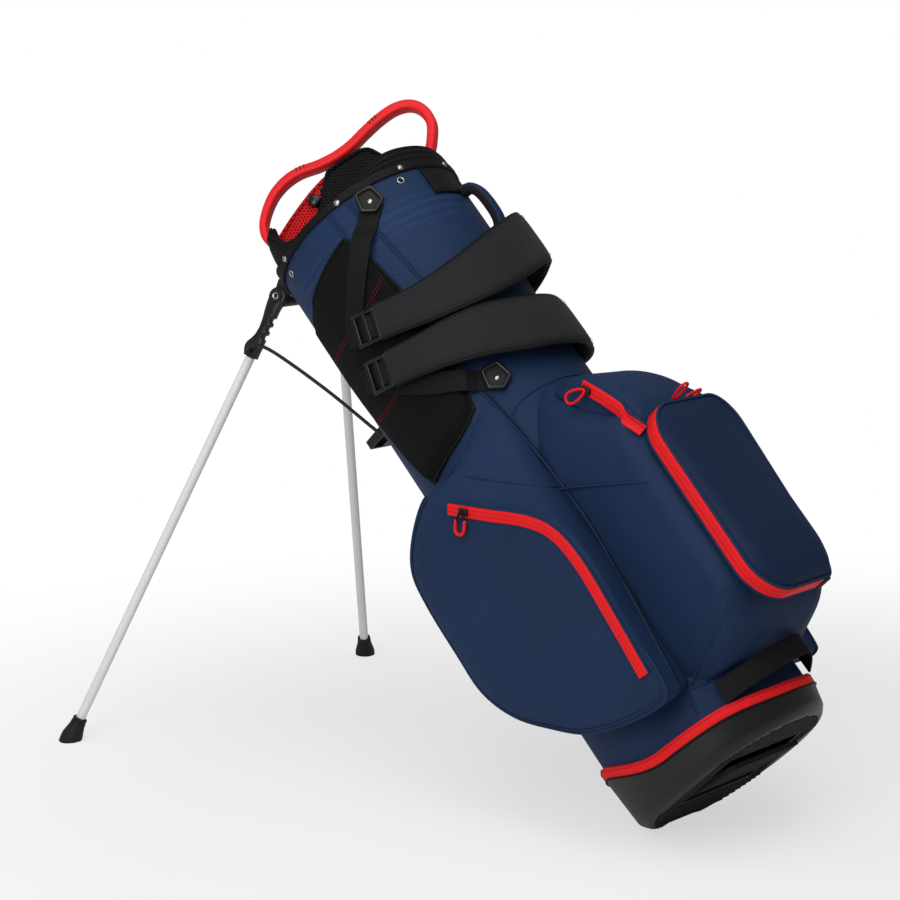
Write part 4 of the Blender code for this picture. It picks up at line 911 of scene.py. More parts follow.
def make_base():
    """The boot with its tread, the trim band above it and the treadle plate's ribs."""
    boot = Piece()
    profile = [(0.1150, 0.0), (0.1180, 0.0004), (0.1215, 0.0024), (0.1250, 0.0062), (0.1282, 0.0104)]
    profile += [(0.1292 + 0.0043 * share, above_boot(share)) for share in (0.0, 0.25, 0.5, 0.75, 0.93)]
    profile += [(0.1338, above_boot(1.0, -0.0012)), (0.1330, above_boot(1.0)), (0.1290, above_boot(1.0)),
                (0.1283, above_boot(1.0, -0.001)), (0.1283, 0.020)]
    boot.skin(lathe(profile), wrap=True, caps=(True, True))
    window = Piece()
    window.block((0.096, 0.138, 0.019), Matrix.Translation((0.009, 0.0, 0.0)), 0.0)
    boot.make("boot_shell", finishes("boot_plastic"), "bag", ("base_boot",), "black_plastic", cut=[window])
    band = Piece()
    section = [(0.1286, 0.0003), (0.1336, 0.0006), (0.1345, 0.0022), (0.1348, 0.0070), (0.1345, 0.0120),
               (0.1336, 0.0138), (0.1286, 0.0140)]
    band.skin(lathe([(radius, above_boot(1.0, rise)) for radius, rise in section]), wrap=True, loop=True)
    band.make("trim_band", finishes("red_band"), "bag", ("base_trim_band",), "red_fabric")
    ring = lathe([(0.1348, above_boot(1.0, 0.0104))])[0]
    stitches("trim_band_stitches", [ring + ring[:1]], "red_thread", "red_fabric")
    cords("boot_piping", [lathe([(0.1342, above_boot(1.0, -0.0002))])[0]], 0.0014, "dark_cord",
          "black_fabric", closed=True)
    ribs = []
    for x in [0.062 + 0.006 * step for step in range(9)] + [-0.050 - 0.006 * step for step in range(8)]:
        half = math.sqrt(0.113 ** 2 - x * x)
        ribs.append([grounded(Vector((x, half * (2 * step / 12 - 1), -0.0002))) for step in range(13)])
    for sign in (-1, 1):
        for y in (0.078, 0.085, 0.092):
            half = min(math.sqrt(0.113 ** 2 - y * y), 0.052)
            ribs.append([Vector((0.006 + half * (2 * step / 8 - 1), sign * y, -0.0002)) for step in range(9)])
    cords("sole_tread", ribs, 0.0014, "rubber", "base_rubber", sides=6)
    swing = Matrix.Translation((-0.032, 0.0, 0.0045)) @ Matrix.Rotation(math.radians(8.0), 4, "Y")
    treads = [[Vector((0.012 + 0.0085 * row, 0.060 * (2 * step / 6 - 1), -0.003)) for step in range(7)]
              for row in range(8)]
    cords("treadle_ribs", treads, 0.0013, "rubber", "base_rubber", "actuator", 6, place=BAG @ swing)
    haul = about_trunk([(38, 0.0082, 0.062), (29, 0.0160, 0.063), (18, 0.0245, 0.0645), (6, 0.0330, 0.066),
                        (-4, 0.0385, 0.067), (-8, 0.0385, 0.067), (-12, 0.0345, 0.067), (-20, 0.0240, 0.0655),
                        (-29, 0.0150, 0.064), (-38, 0.0082, 0.062)], 6)
    strap("haul_strap", haul, radial(haul), 0.027, 0.0026, "black_web", ("haul_loop",), "black_fabric")


def strap(name, path, ups, width, thickness, material, nodes, slot, body="bag"):
    """A flat strap of webbing along a route."""
    piece = Piece()
    piece.sweep(path, ups, rounded(width, thickness))
    return piece.make(name, finishes(material), body, nodes, slot)


# Trunk and mouth

def trunk_bulge(angle, height):
    """Slack of the trunk cloth between its seams, in metres."""
    calm = ease(height, 0.09, 0.20) * (1.0 - ease(height, 0.70, 0.80))
    return 0.0009 * calm * ripple(math.radians(angle) * 3.0, height * 17.0)


CUFF_SEAMS = (
    ((66.0, 0.8245), (64.4, 0.777), (61.6, 0.733), (58.3, 0.687), (55.5, 0.640)),
    ((53.4, 0.8245), (52.6, 0.806), (48.7, 0.772), (43.0, 0.681), (41.0, 0.640)),
)
REAR_SEAM = ((49.2, 0.513), (47.5, 0.440), (44.3, 0.376), (44.7, 0.346), (44.6, 0.285), (45.7, 0.221),
             (47.3, 0.156), (50.4, 0.0945), (53.5, 0.058))


def make_trunk():
    """The cloth tube with its cuff, seams and piping."""
    tube = Piece()
    heights = [0.0205 + (0.66 - 0.0205) * step / 30 for step in range(31)]
    rows = [[polar(TRUNK + trunk_bulge(angle, height), angle, height) for angle in ROUND] for height in heights]
    for step in range(1, 13):
        rows.append([polar(TRUNK, angle, 0.66 + (rim_height(angle) - 0.66) * step / 12) for angle in ROUND])
    outer = len(rows) - 1
    for step in range(7):
        rows.append([polar(TRUNK - 0.0035, angle, rim_height(angle) + (0.0205 - rim_height(angle)) * step / 6)
                     for angle in ROUND])
    tube.skin(rows, wrap=True, loop=True, slots=lambda row, step: 0 if row < 30 else (1 if row <= outer - 1 else 2))
    tube.make("trunk_tube", finishes("navy_cloth", "navy_cuff", "lining"), "bag",
              ("trunk_panel_back", "trunk_panel_near", "trunk_panel_far"), "navy_fabric")
    seams, threads = [], []
    for rows in CUFF_SEAMS:
        for mirror in (1, -1):
            for shift in (0.0, 1.9):
                seams.append(on_trunk([(mirror * (angle + shift), height) for angle, height in rows], 0.1284))
            threads.append(on_trunk([(mirror * (angle - 1.6), height) for angle, height in rows], 0.1283))
    for mirror in (1, -1):
        seams.append(on_trunk([(mirror * angle, height) for angle, height in REAR_SEAM], 0.1284))
        seams.append(on_trunk([(mirror * (angle - 1.3), height) for angle, height in REAR_SEAM], 0.1282))
    low = [(66.4, 0.098), (53.6, 0.091), (42.4, 0.083), (31.3, 0.081), (15.0, 0.080), (0.0, 0.080)]
    crossing = [(45.2, 0.4753), (37.6, 0.4842), (26.8, 0.4890), (12.6, 0.4912), (0.0, 0.4920)]
    for rows in (low, crossing):
        seams.append(on_trunk([*rows, *((-angle, height) for angle, height in rows[-2::-1])], 0.1286))
    seams.append([polar(0.1283, angle, 0.660) for angle in ROUND[ROUND.index(-65.0):ROUND.index(67.5)]])
    cords("trunk_piping", seams, 0.0012, "navy_cord", "navy_fabric")
    stitches("cuff_stitches", threads, "navy_thread", "navy_fabric", share=0.6)


def bound(rise):
    """Height rule of the smooth binding, measured from its upper edge."""
    return lambda angle: max(min(0.8372, rim_height(angle) + 0.001) + rise, 0.8266)


def above_binding(share, rise=0.0):
    """Height rule of the mesh between the binding and the rim."""
    return lambda angle: bound(0.0)(angle) + (rim_height(angle) + 0.0018 - bound(0.0)(angle)) * share + rise


def make_mouth():
    """The bound rim, its rivets and eyelets, the mesh collar, the handle and the club dividers."""
    binding = Piece()
    profile = [(0.1284, 0.8253), (0.1308, 0.8252), (0.1318, 0.8262), (0.1322, bound(-0.005)), (0.1319, bound(-0.001)),
               (0.1306, bound(0.0)), (0.1301, above_binding(0.1)), (0.1305, above_binding(0.4)),
               (0.1303, above_binding(0.8)), (0.1290, above_binding(1.0)), (0.1270, above_binding(1.0, 0.0006)),
               (0.1250, above_binding(1.0, -0.001)), (0.1244, above_binding(1.0, -0.006)),
               (0.1244, above_binding(1.0, -0.011)), (0.1281, above_binding(1.0, -0.0085))]
    binding.skin(lathe(profile), wrap=True, loop=True, slots=lambda row, step: 1 if 5 <= row <= 12 else 0)
    binding.make("rim_binding", finishes("binding", "black_mesh"), "bag", ("cuff_binding",), "black_fabric")
    studs = [(polar(0.1318, angle, height), polar(1.0, angle, 0.0))
             for angle, height in ((58.9, 0.8285), (18.0, 0.8305), (107.6, 0.8315), (-18.0, 0.8305), (-58.9, 0.8285),
                                   (-107.6, 0.8315), (152.0, 0.8315), (-152.0, 0.8315))]
    fittings("rim_rivets", "Studs", studs, {"Radius": 0.0042, "Rise": 0.0022}, "nickel", "bright_steel")
    holes = [(polar(0.1285, angle, height), polar(1.0, angle, 0.0))
             for angle, height in ((21.7, 0.815), (112.8, 0.815), (-62.0, 0.815), (-112.8, 0.815))]
    fittings("cuff_eyelets", "Eyelets", holes, {"Radius": 0.0042, "Wire": 0.0011}, "nickel", "bright_steel")
    fittings("eyelet_holes", "Studs", holes, {"Radius": 0.0034, "Rise": 0.0004}, "lining", "lining_fabric")
    collar = Piece()
    rows = []
    for radius, low, share in ((0.1242, True, 0.0), (0.1242, False, 0.35), (0.1242, False, 0.7), (0.1240, False, 0.9),
                               (0.1228, False, 0.97), (0.1195, False, 1.0), (0.1150, False, 1.0), (0.1110, False, 0.97),
                               (0.1092, False, 0.9), (0.1086, False, 0.6), (0.1086, False, 0.3), (0.1086, True, 0.0)):
        rows.append([collar_point(radius, angle, 0.7955 if low else 0.7955 + (collar_height(angle) - 0.7955) * share)
                     for angle in ROUND])
    collar.skin(rows, wrap=True, loop=True)
    item = collar.make("mouth_mesh", finishes("black_mesh"), "bag", ("mouth_collar",), "black_fabric", levels=1)
    rim = [collar_point(0.1195, angle, collar_height(angle) + 0.0006) for angle in ROUND]
    cords("collar_edge", [rim], 0.0016, "dark_cord", "black_fabric", closed=True)
    make_handle()
    make_dividers()


def mouth_point(across, height, side=0.0):
    """A point in the plane of the handle; side runs square to it."""
    turn = math.radians(MOUTH_ANGLE)
    return polar(across, MOUTH_ANGLE, height) + Vector((math.sin(turn), math.cos(turn), 0.0)) * side


def handle_route():
    """Middle line of the handle, from its front lobe over the mouth to the rear one."""
    top = HANDLE_SEAT
    rows = [(0.1100, top - 0.057), (0.1140, top - 0.048), (0.1155, top - 0.039), (0.1130, top - 0.030),
            (0.1066, top - 0.019), (0.0923, top - 0.0055),
            (0.0747, top + 0.0055), (0.0535, top + 0.0112), (0.0319, top + 0.0105), (0.0077, top + 0.0035),
            (-0.0163, top), (-0.0411, top + 0.0008), (-0.0663, top + 0.006), (-0.0929, top + 0.010),
            (-0.1166, top + 0.0092), (-0.1350, top + 0.0003), (-0.1441, top - 0.0166), (-0.1429, top - 0.0375),
            (-0.1305, top - 0.0570), (-0.1235, top - 0.0650), (-0.1185, top - 0.0720)]
    return even(spline([mouth_point(u, z) for u, z in rows], 6), 0.0025)


def make_handle():
    """The wavy red handle over the mouth, with two groups of grip notches."""
    path = handle_route()
    square = mouth_point(0.0, 0.0, 1.0)
    ups = [square.cross(along) for along in headings(path)]
    if ups[len(ups) // 2].z < 0:
        ups = [-up for up in ups]
    section = rounded(0.0200, 0.0132, 6, 0.34)
    last = len(path) - 1
    sizes = [(1.0, 0.80 + 0.22 * ease(step / last, 0.04, 0.32) - 0.10 * ease(step / last, 0.84, 0.97))
             for step in range(last + 1)]
    handle = Piece()
    handle.sweep(path, ups, section, sizes=sizes)
    handle.make("mouth_handle", finishes("red_moulding"), "bag", ("top_handle",), "red_plastic")
    # The notches are thin black gloss cords laid along the handle's edge: painted shade in the grooves.
    notches = Piece()
    for across in (0.031, -0.0825):
        middle = min(range(len(path)), key=lambda spot: abs(path[spot].dot(mouth_point(1.0, 0.0)) - across))
        for step in (middle - 2, middle, middle + 2):
            edge = [path[step] + square * a + ups[step] * (h * sizes[step][1] - 0.0003) for a, h in section
                    if a > 0.006 and h > 0.002]
            notches.tube([edge[0] - ups[step] * 0.0012, *edge, edge[-1] - square * 0.002], 0.0008, 8)
    notches.make("handle_notches", finishes("gloss_plastic"), "bag", slot="red_plastic")


def make_dividers():
    """Mesh-covered dividing walls between the clubs, with a press knob on the red slope."""
    throat = 0.1082
    tops = [(-0.1242, 0.790), (-throat, 0.790), (-throat + 0.0005, 0.834), (-0.0760, 0.886), (-0.0680, 0.904),
            (-0.0639, 0.9135), (-0.0600, 0.9218), (-0.0545, 0.9280), (-0.0470, 0.9310), (-0.0245, 0.9323), (0.0034, 0.9315),
            (0.0081, 0.9265), (0.0182, 0.9246), (0.0368, 0.9195), (0.0569, 0.9122), (0.0776, 0.9037), (0.0930, 0.8964),
            (0.1035, 0.8910), (throat - 0.0005, 0.884), (throat, 0.790), (0.1242, 0.790)]
    spans = sorted({-0.1236 + 0.2472 * step / 80 for step in range(81)} | {u for u, z in tops})
    levels = [0.0, 0.3, 0.6, *(0.8 + 0.005 * step for step in range(41))]
    front, back = [], []
    for u in spans:
        top = table(tops, u)[0]
        points = [0.0268 + (top - 0.0268) * level for level in levels]
        front.append([mouth_point(u, z, 0.0028) for z in points])
        back.append([mouth_point(u, z, -0.0028) for z in points])
    wall = Piece()

    def cover(row, step):
        if levels[step] < 0.8:
            return 2
        height = table(tops, spans[row])[0] * levels[step]
        return 1 if spans[row] > 0.008 + max(0.0, 0.931 - height) * 0.85 else 0

    wall.cushion(front, back, 2, cover)
    wall.make("divider_main_mesh", finishes("black_mesh", "red_mesh", "lining"), "bag", ("club_divider_main",),
              "lining_fabric")
    crown = [mouth_point(u, table(tops, u)[0] + 0.001) for u in spans if abs(u) < 0.1075]
    crown = even(spline(crown[::3], 3), 0.004)
    bead = Piece()
    bead.sweep(crown, [Vector((0, 0, 1))] * len(crown), rounded(0.012, 0.005),
               slots=lambda row, step: 1 if row < len(crown) and crown[row].dot(mouth_point(1.0, 0.0)) > 0.01 else 0)
    bead.make("divider_crown", finishes("black_mesh", "red_mesh"), "bag", slot="lining_fabric")
    cross = Piece()
    rows = []
    for level in (0.0268, 0.3, 0.6, 0.789):
        rows.append([mouth_point(u, level, 0.1235 * v) for u, v in ((0.0025, -1), (0.0025, -0.02), (0.0025, 0.02),
                                                                   (0.0025, 1), (-0.0025, 1), (-0.0025, 0.02),
                                                                   (-0.0025, -0.02), (-0.0025, -1))])
    cross.skin(rows, wrap=True, caps=(True, True))
    cross.make("divider_cross_lining", finishes("lining"), "bag", ("club_divider_cross",), "lining_fabric")
    knob = Piece()
    place = from_frame(mouth_point(1.0, 0.0), Vector((0, 0, 1)), mouth_point(0.0, 0.0, 1.0), mouth_point(0.038, 0.908))
    knob.skin([[place @ Vector((r * math.cos(math.tau * t / 24), r * math.sin(math.tau * t / 24), z))
                for t in range(24)] for r, z in ((0.0070, -0.006), (0.0080, 0.004), (0.0086, 0.008), (0.0080, 0.0105),
                                                 (0.0055, 0.0120), (0.002, 0.0124))], wrap=True, caps=(True, True))
    knob.make("crown_knob", finishes("gloss_plastic"), "bag", slot="black_plastic")


# Pockets

POCKET_FACE = ((-0.028, 0.456), (-0.075, 0.437), (-0.110, 0.405), (-0.120, 0.360), (-0.122, 0.290), (-0.121, 0.235),
               (-0.100, 0.187), (-0.063, 0.147), (-0.020, 0.112), (0.040, 0.089), (0.092, 0.080), (0.109, 0.098),
               (0.114, 0.180), (0.122, 0.250), (0.116, 0.305), (0.094, 0.345), (0.053, 0.385), (0.000, 0.436))
POCKET_SEAM = ((-0.030, 0.462), (-0.070, 0.440), (-0.095, 0.405), (-0.100, 0.360), (-0.100, 0.290), (-0.098, 0.235),
               (-0.085, 0.190), (-0.055, 0.150), (-0.015, 0.116), (0.040, 0.097), (0.080, 0.092), (0.088, 0.106),
               (0.090, 0.180), (0.092, 0.250), (0.092, 0.330), (0.091, 0.420), (0.083, 0.506), (0.020, 0.470))
POCKET_MIDDLE = Vector((-0.005, 0.270, 0.0))
ZIP_ROUTE = ((-0.004, 0.421), (0.0395, 0.380), (0.083, 0.339), (0.1045, 0.304), (0.1105, 0.257), (0.106, 0.192),
             (0.1005, 0.133), (0.0985, 0.114))
REAR_PIPING = ((0.0790, 0.1013, 0.5223), (0.0838, 0.0987, 0.497), (0.0888, 0.0990, 0.4689), (0.0925, 0.0970, 0.4321),
               (0.0984, 0.0992, 0.3917), (0.1055, 0.1055, 0.3415), (0.1066, 0.1066, 0.3078), (0.1040, 0.1066, 0.2729),
               (0.1018, 0.1080, 0.2422), (0.1030, 0.1135, 0.2105), (0.1028, 0.1208, 0.1651), (0.1044, 0.1294, 0.1248),
               (0.0990, 0.1288, 0.0880))
POCKET_FOLDS = (((0.0041, 0.1392, 0.4614), (0.0318, 0.1487, 0.4380), (0.0547, 0.1493, 0.4166), (0.0838, 0.1439, 0.3880),
                 (0.0988, 0.1265, 0.3705), (0.1003, 0.1050, 0.3650)),
                ((-0.0293, 0.1657, 0.4526), (-0.0151, 0.1449, 0.4620), (-0.0006, 0.1282, 0.4687)))


def flat_route(points, steps, closed=False):
    """A smooth route in the x and z plane, as 2D points in a vector's first two places."""
    return spline([(x, z, 0.0) for x, z in points], steps, closed)


def make_side_pocket(side):
    """A leaf-shaped pocket on one flank, its piping, its zip and the tape's stitching."""
    sign = SIDES[side]

    def slim(point):
        """The far pocket is drawn in behind."""
        x = point[0]
        return (0.06 + (x - 0.06) * 0.5 if sign > 0 and x > 0.06 else x, *point[1:])

    face = flat_route(map(slim, POCKET_FACE), 6, True)
    seam = flat_route(POCKET_SEAM, 6, True)
    zip_line = even(flat_route(map(slim, ZIP_ROUTE), 8), 0.004)
    depth = {"seam": 0.1272, "piping": 0.162, "crown": 0.014}

    def at(flat, y):
        return Vector((flat.x, sign * y, flat.y))

    def sewn(flat):
        return at(flat, math.sqrt(depth["seam"] ** 2 - min(abs(flat.x), 0.12) ** 2))

    roof_rows = []
    for step in range(9):
        share = step / 8
        row = []
        for spot, (inner, outer) in enumerate(zip(seam, face)):
            low, high = sewn(inner), at(outer, depth["piping"])
            swell = math.sin(math.pi * share)
            away = (Vector((outer.x, outer.y, 0.0)) - POCKET_MIDDLE).normalized()
            point = low.lerp(high, share) + Vector((away.x, 0.0, away.y)) * (0.0035 * swell)
            point.y += sign * 0.0022 * swell * ripple(spot * 0.35, share * 3.0)
            row.append(point)
        roof_rows.append(row)
    crown = [(0.0, 1.0), (0.22, 0.985), (0.45, 0.95), (0.64, 0.91), (0.75, 0.86), (0.86, 0.74), (0.93, 0.60),
             (0.97, 0.45), (1.0, 0.30), (1.0, 0.15), (1.0, 0.04)]
    face_rows = []
    for rise, scale in crown:
        row = []
        for spot, outer in enumerate(face):
            flat = POCKET_MIDDLE.lerp(outer, scale)
            y = depth["piping"] + depth["crown"] * rise
            slack = (1.0 - scale) * ease(scale, 0.02, 0.3)
            y += 0.0028 * slack * ripple(flat.x * 42.0, flat.y * 30.0)
            near_zip = min((flat - mark).length for mark in zip_line)
            if near_zip < 0.013:
                y = min(y, 0.1698 + 0.0015 * ease(near_zip, 0.008, 0.013))
            row.append(at(flat, y))
        face_rows.append(row)
    shell = Piece()
    shell.skin([*roof_rows, *face_rows[1:]], wrap=True, caps=(True, True))
    shell.make("side_pocket_cloth_" + side, finishes("navy_cloth"), "bag", ("side_pocket_" + side,), "navy_fabric",
               sharp=50.0)
    edge = [at(flat, depth["piping"] + 0.0003) for flat in face]
    inner_edge = [at(POCKET_MIDDLE.lerp(flat, 0.972), depth["piping"] + 0.0052) for flat in face]
    cords("side_piping_" + side, [edge[:70]], measure("piping") * 1.15, "navy_cord", "navy_fabric")
    cords("side_piping_inner_" + side, [inner_edge[:70]], 0.0009, "navy_cord", "navy_fabric")
    seam_line = [Vector((x, sign * y, z)) for x, y, z in REAR_PIPING[:9 if sign > 0 else None]]
    beside = [point + Vector((0.0028, sign * 0.0004, 0.0)) for point in seam_line]
    cords("rear_piping_" + side, [spline(seam_line, 6)], measure("piping"), "navy_cord", "navy_fabric")
    cords("rear_shadow_" + side, [spline(beside, 6)], 0.0008, "dark_cord", "navy_fabric")
    folds = [spline([(x, sign * y, z) for x, y, z in map(slim, line)], 6) for line in POCKET_FOLDS]
    cords("roof_fold_" + side, folds, 0.0010, "navy_cord", "navy_fabric")
    tape = Piece()
    path = [at(flat, 0.1708) for flat in zip_line]
    tape.sweep(path, [Vector((0, sign, 0))] * len(path), rounded(0.0145, 0.003))
    tape.make("side_zip_" + side, finishes("red_zip"), "bag", ("zip_side_" + side,), "red_fabric")
    seams = []
    for shift in (-0.0083, 0.0083):
        ways = headings(zip_line)
        seams.append([at(flat + Vector((-way.y, way.x, 0.0)) * shift, 0.1706) for flat, way in zip(zip_line, ways)])
    cords("side_zip_edge_" + side, seams, 0.0013, "navy_cord", "navy_fabric")


BLOCK_STATIONS = ((0.083, 0.080, 0.022), (0.105, 0.095, 0.062), (0.135, 0.103, 0.087), (0.165, 0.105, 0.0974),
                  (0.300, 0.105, 0.0974), (0.362, 0.103, 0.0974), (0.395, 0.098, 0.062), (0.430, 0.085, 0.037),
                  (0.465, 0.068, 0.014), (0.485, 0.050, 0.002))
FAR_DRAWN = 0.93
VALUABLES_STATIONS = ((0.346, 0.0890, 0.0985), (0.367, 0.0780, 0.100), (0.390, 0.0728, 0.0960), (0.428, 0.0722, 0.078),
                      (0.457, 0.0630, 0.051), (0.473, 0.0460, 0.020))


def pocket_section(near, far, half, corners, height, puff=0.0):
    """A section of a pocket on the back of the trunk: two flanks, a near and a far corner, and a face."""
    halves = []
    for side, corner in zip((-1, 1), corners):
        corner = min(corner, half * 0.9, max(far - near, 0.002) * 0.9)
        reach = far - corner - near
        points = [Vector((near, side * half, height))]
        points += [Vector((near + reach * share, side * (half + puff), height)) for share in (0.33, 0.67)]
        for step in range(9):
            turn = math.radians(90.0 * step / 8)
            points.append(Vector((far - corner + corner * math.sin(turn),
                                  side * (half - corner + corner * math.cos(turn)), height)))
        points.append(Vector((far + puff, side * (half - corner) * 0.5, height)))
        halves.append(points)
    return halves[0] + [Vector((far + puff, 0.0, height))] + halves[1][::-1]


def make_block_pocket():
    """The stout pocket on the back of the trunk, with its seams."""
    rows = []
    for stop in spline(BLOCK_STATIONS, 5):
        height, half, reach = stop
        half = min(half, 0.1055)
        near = math.sqrt(0.1262 ** 2 - half ** 2)
        swell = 0.0016 * ripple(height * 60.0, half * 30.0) * ease(reach, 0.01, 0.06)
        rows.append(pocket_section(near, TRUNK + min(reach, 0.0974), half, (0.032, 0.032), height, swell))
        for point in rows[-1]:
            point.y *= FAR_DRAWN if point.y > 0 else 1.0
    block = Piece()
    block.skin(rows, wrap=True, caps=(True, True))
    block.make("back_pocket_cloth", finishes("navy_cloth"), "bag", ("back_pocket",), "navy_fabric", sharp=60.0)
    seams = []
    for sign in (-1, FAR_DRAWN):
        y = sign * 0.1062
        seams.append(spline([(0.090, y, 0.366), (0.118, y, 0.350), (0.182, y, 0.309), (0.2045, sign * 0.1035, 0.292)], 6))
        seams.append(spline([(0.0850, sign * 0.0968, 0.0885), (0.1134, sign * 0.0936, 0.1010),
                             (0.1569, sign * 0.0986, 0.1125), (0.1947, sign * 0.0966, 0.1256),
                             (0.2174, sign * 0.0800, 0.1390)], 6))
    cords("back_pocket_piping", seams, 0.0013, "navy_cord", "navy_fabric")


def ball_ring(x, scale, grow=0.0, sag=0.0):
    """A ring of the ball pocket at one depth, hanging back towards its top and drawn in on its far side."""
    half, tall, corner = (0.095 + grow) * scale, (0.1285 + grow) * scale, (0.046 + grow) * scale
    ring = []
    for turn, side, rise in ((0, 1, 1), (90, -1, 1), (180, -1, -1), (270, 1, -1)):
        for step in range(13):
            angle = math.radians(turn + 90.0 * step / 12)
            up = rise * (tall - corner) + corner * math.sin(angle)
            across = side * (half - corner) + corner * math.cos(angle)
            high = up / 0.1285
            drawn = 0.545 + 0.145 * high if across > 0 else 0.995 - 0.05 * high - 0.045 * high * high
            fall = high + max(across, 0.0) / 0.095
            ring.append(Vector((x - sag * fall, across * drawn, 0.2335 + up)))
    return ring


def make_ball_pocket():
    """The domed ball pocket, its zip all round, the piping beside it and its end tab."""
    base, deep = 0.2257, 0.036
    steps = [(0.0, 1.0, 0.0), (0.1, 1.0, 0.0), (0.34, 0.998, 0.0), (0.56, 1.0, 0.0), (0.66, 0.988, 0.2), (0.74, 0.965, 0.4),
             (0.82, 0.925, 0.6), (0.89, 0.865, 0.8), (0.93, 0.77, 0.9), (0.97, 0.64, 1.0), (0.99, 0.48, 1.0), (1.0, 0.3, 1.0),
             (1.003, 0.1, 1.0)]
    rows = []
    for share, scale, sag in steps:
        ring = ball_ring(base + deep * share, scale, 0.0, 0.007 * sag)
        for point in ring:
            fade = ease(share, 0.55, 0.9)
            point.x += 0.0015 * fade * ripple(point.y * 38.0, point.z * 33.0)
        rows.append(ring)
    pouch = Piece()
    # From the fourth ring on, the pocket's face takes the darker navy copy: painted shade.
    pouch.skin(rows, wrap=True, caps=(True, True), slots=lambda row, step: 1 if row >= 3 else 0)
    pouch.make("ball_pocket_cloth", finishes("navy_cloth", "navy_dark"), "bag", ("ball_pocket",), "navy_fabric",
               sharp=60.0)
    belt = Piece()
    loop = ball_ring(0.2377, 1.0, 0.0015)
    ups = [way.cross(Vector((1, 0, 0))) for way in headings(loop, True)]
    belt.sweep(loop, ups, rounded(0.0165, 0.003), closed=True)
    belt.make("ball_zip", finishes("red_zip"), "bag", ("zip_ball",), "red_fabric")
    cords("ball_piping", [ball_ring(0.2278, 1.0, 0.0012), ball_ring(0.2476, 1.0, 0.0010)], measure("piping"), "navy_cord",
          "navy_fabric", closed=True)
    tab = Piece()
    tab.block((0.0175, 0.013, 0.0034), Matrix.Translation((0.2377, 0.018, 0.1024)), 0.0012)
    tab.make("ball_zip_tab", finishes("pad_cloth"), "bag", slot="black_fabric")


def make_valuables_pocket():
    """The small pocket above the ball pocket, with its slanting zip."""
    rows = []
    for height, half, reach in spline(VALUABLES_STATIONS, 6):
        far = TRUNK + reach
        near = TRUNK + table(BLOCK_STATIONS, height)[1] - 0.006
        rows.append(pocket_section(near, max(far, near + 0.004), half, (0.020, 0.060), height,
                                   0.0012 * ripple(height * 70.0, half * 40.0)))
        for point in rows[-1]:
            point.z -= 0.07 * point.y * ease(height, 0.39, 0.46)
    pocket = Piece()
    pocket.skin(rows, wrap=True, caps=(True, True))
    pocket.make("valuables_cloth", finishes("navy_cloth"), "bag", ("valuables_pocket",), "navy_fabric", sharp=60.0)
    route = even(spline([(0.1865, -0.0752, 0.441), (0.1925, -0.0753, 0.4290), (0.2000, -0.0753, 0.4135),
                         (0.2078, -0.0754, 0.3945), (0.2102, -0.0755, 0.3878), (0.2140, -0.0800, 0.3785),
                         (0.2200, -0.0872, 0.3660), (0.2255, -0.0876, 0.3535), (0.2275, -0.0856, 0.3450)],
                        6), 0.003)
    tape = Piece()
    ups = [Vector((0, -1, 0)).lerp(Vector((0.80, -0.55, 0.2)), ease(step / len(route), 0.54, 0.85))
           for step in range(len(route))]
    tape.sweep(route, ups, rounded(0.0160, 0.0034))
    tape.make("valuables_zip_tape", finishes("red_zip"), "bag", ("zip_valuables",), "red_fabric")
    edges = []
    for shift in (-0.0084, 0.0084):
        edges.append([point + Vector((-way.z, 0.0, way.x)) * shift + Vector((0, 0.0006, 0))
                      for point, way in zip(route, headings(route))])
    cords("valuables_piping", edges, 0.0014, "navy_cord", "navy_fabric")


# Zip sliders and pulls

def make_slider(name, place, run, facing, hang, corded):
    """A zip slider with its bridge, and the loop that pulls it."""
    place, run, facing, hang = (Vector(part) for part in (place, run, facing, hang))
    run.normalize()
    side = facing.cross(run)
    slider = Piece()
    spot = from_frame(run, side, facing, place + facing * 0.0023)
    slider.block((0.013, 0.009, 0.004), spot, 0.0011)
    slider.block((0.0075, 0.0024, 0.0018), spot @ Matrix.Translation((0, 0, 0.0030)), 0.0006)
    slider.make("slider_" + name, finishes("black_steel"), "slider_" + name, ("zip_slider_" + name,), "black_steel")
    flow = (hang - facing * hang.dot(facing)).normalized()
    cross = facing.cross(flow)
    pivot = place + facing * 0.0062

    def loop(points):
        return [pivot + (flow + facing * 0.1) * u + cross * v for u, v in points]

    pull = Piece()
    if corded:
        pull.tube(spline(loop([(0.0125, 0.0058), (0.0085, 0.0052), (0.0, 0.0021), (0.0, -0.0021), (0.0085, -0.0052),
                               (0.0125, -0.0058)]), 5), 0.0013, 8, slot=1)
        pull.tube(spline(loop([(0.0100, 0.0066), (0.0180, 0.0069), (0.0235, 0.0052), (0.0258, 0.0), (0.0235, -0.0052),
                               (0.0180, -0.0069), (0.0100, -0.0066)]), 5), 0.0020, 10)
    else:
        ring = [(0, -0.0021), (0.0109, -0.0062), (0.0208, -0.0066), (0.0258, -0.003), (0.0258, 0.003),
                (0.0208, 0.0066), (0.0109, 0.0062), (0, 0.0021)]
        pull.tube(spline(loop(ring), 5, True), 0.0017, 10, closed=True)
    pull.make("pull_" + name, finishes("red_cord", "dark_cord"), "pull_" + name, ("zip_pull_" + name,), "red_plastic")


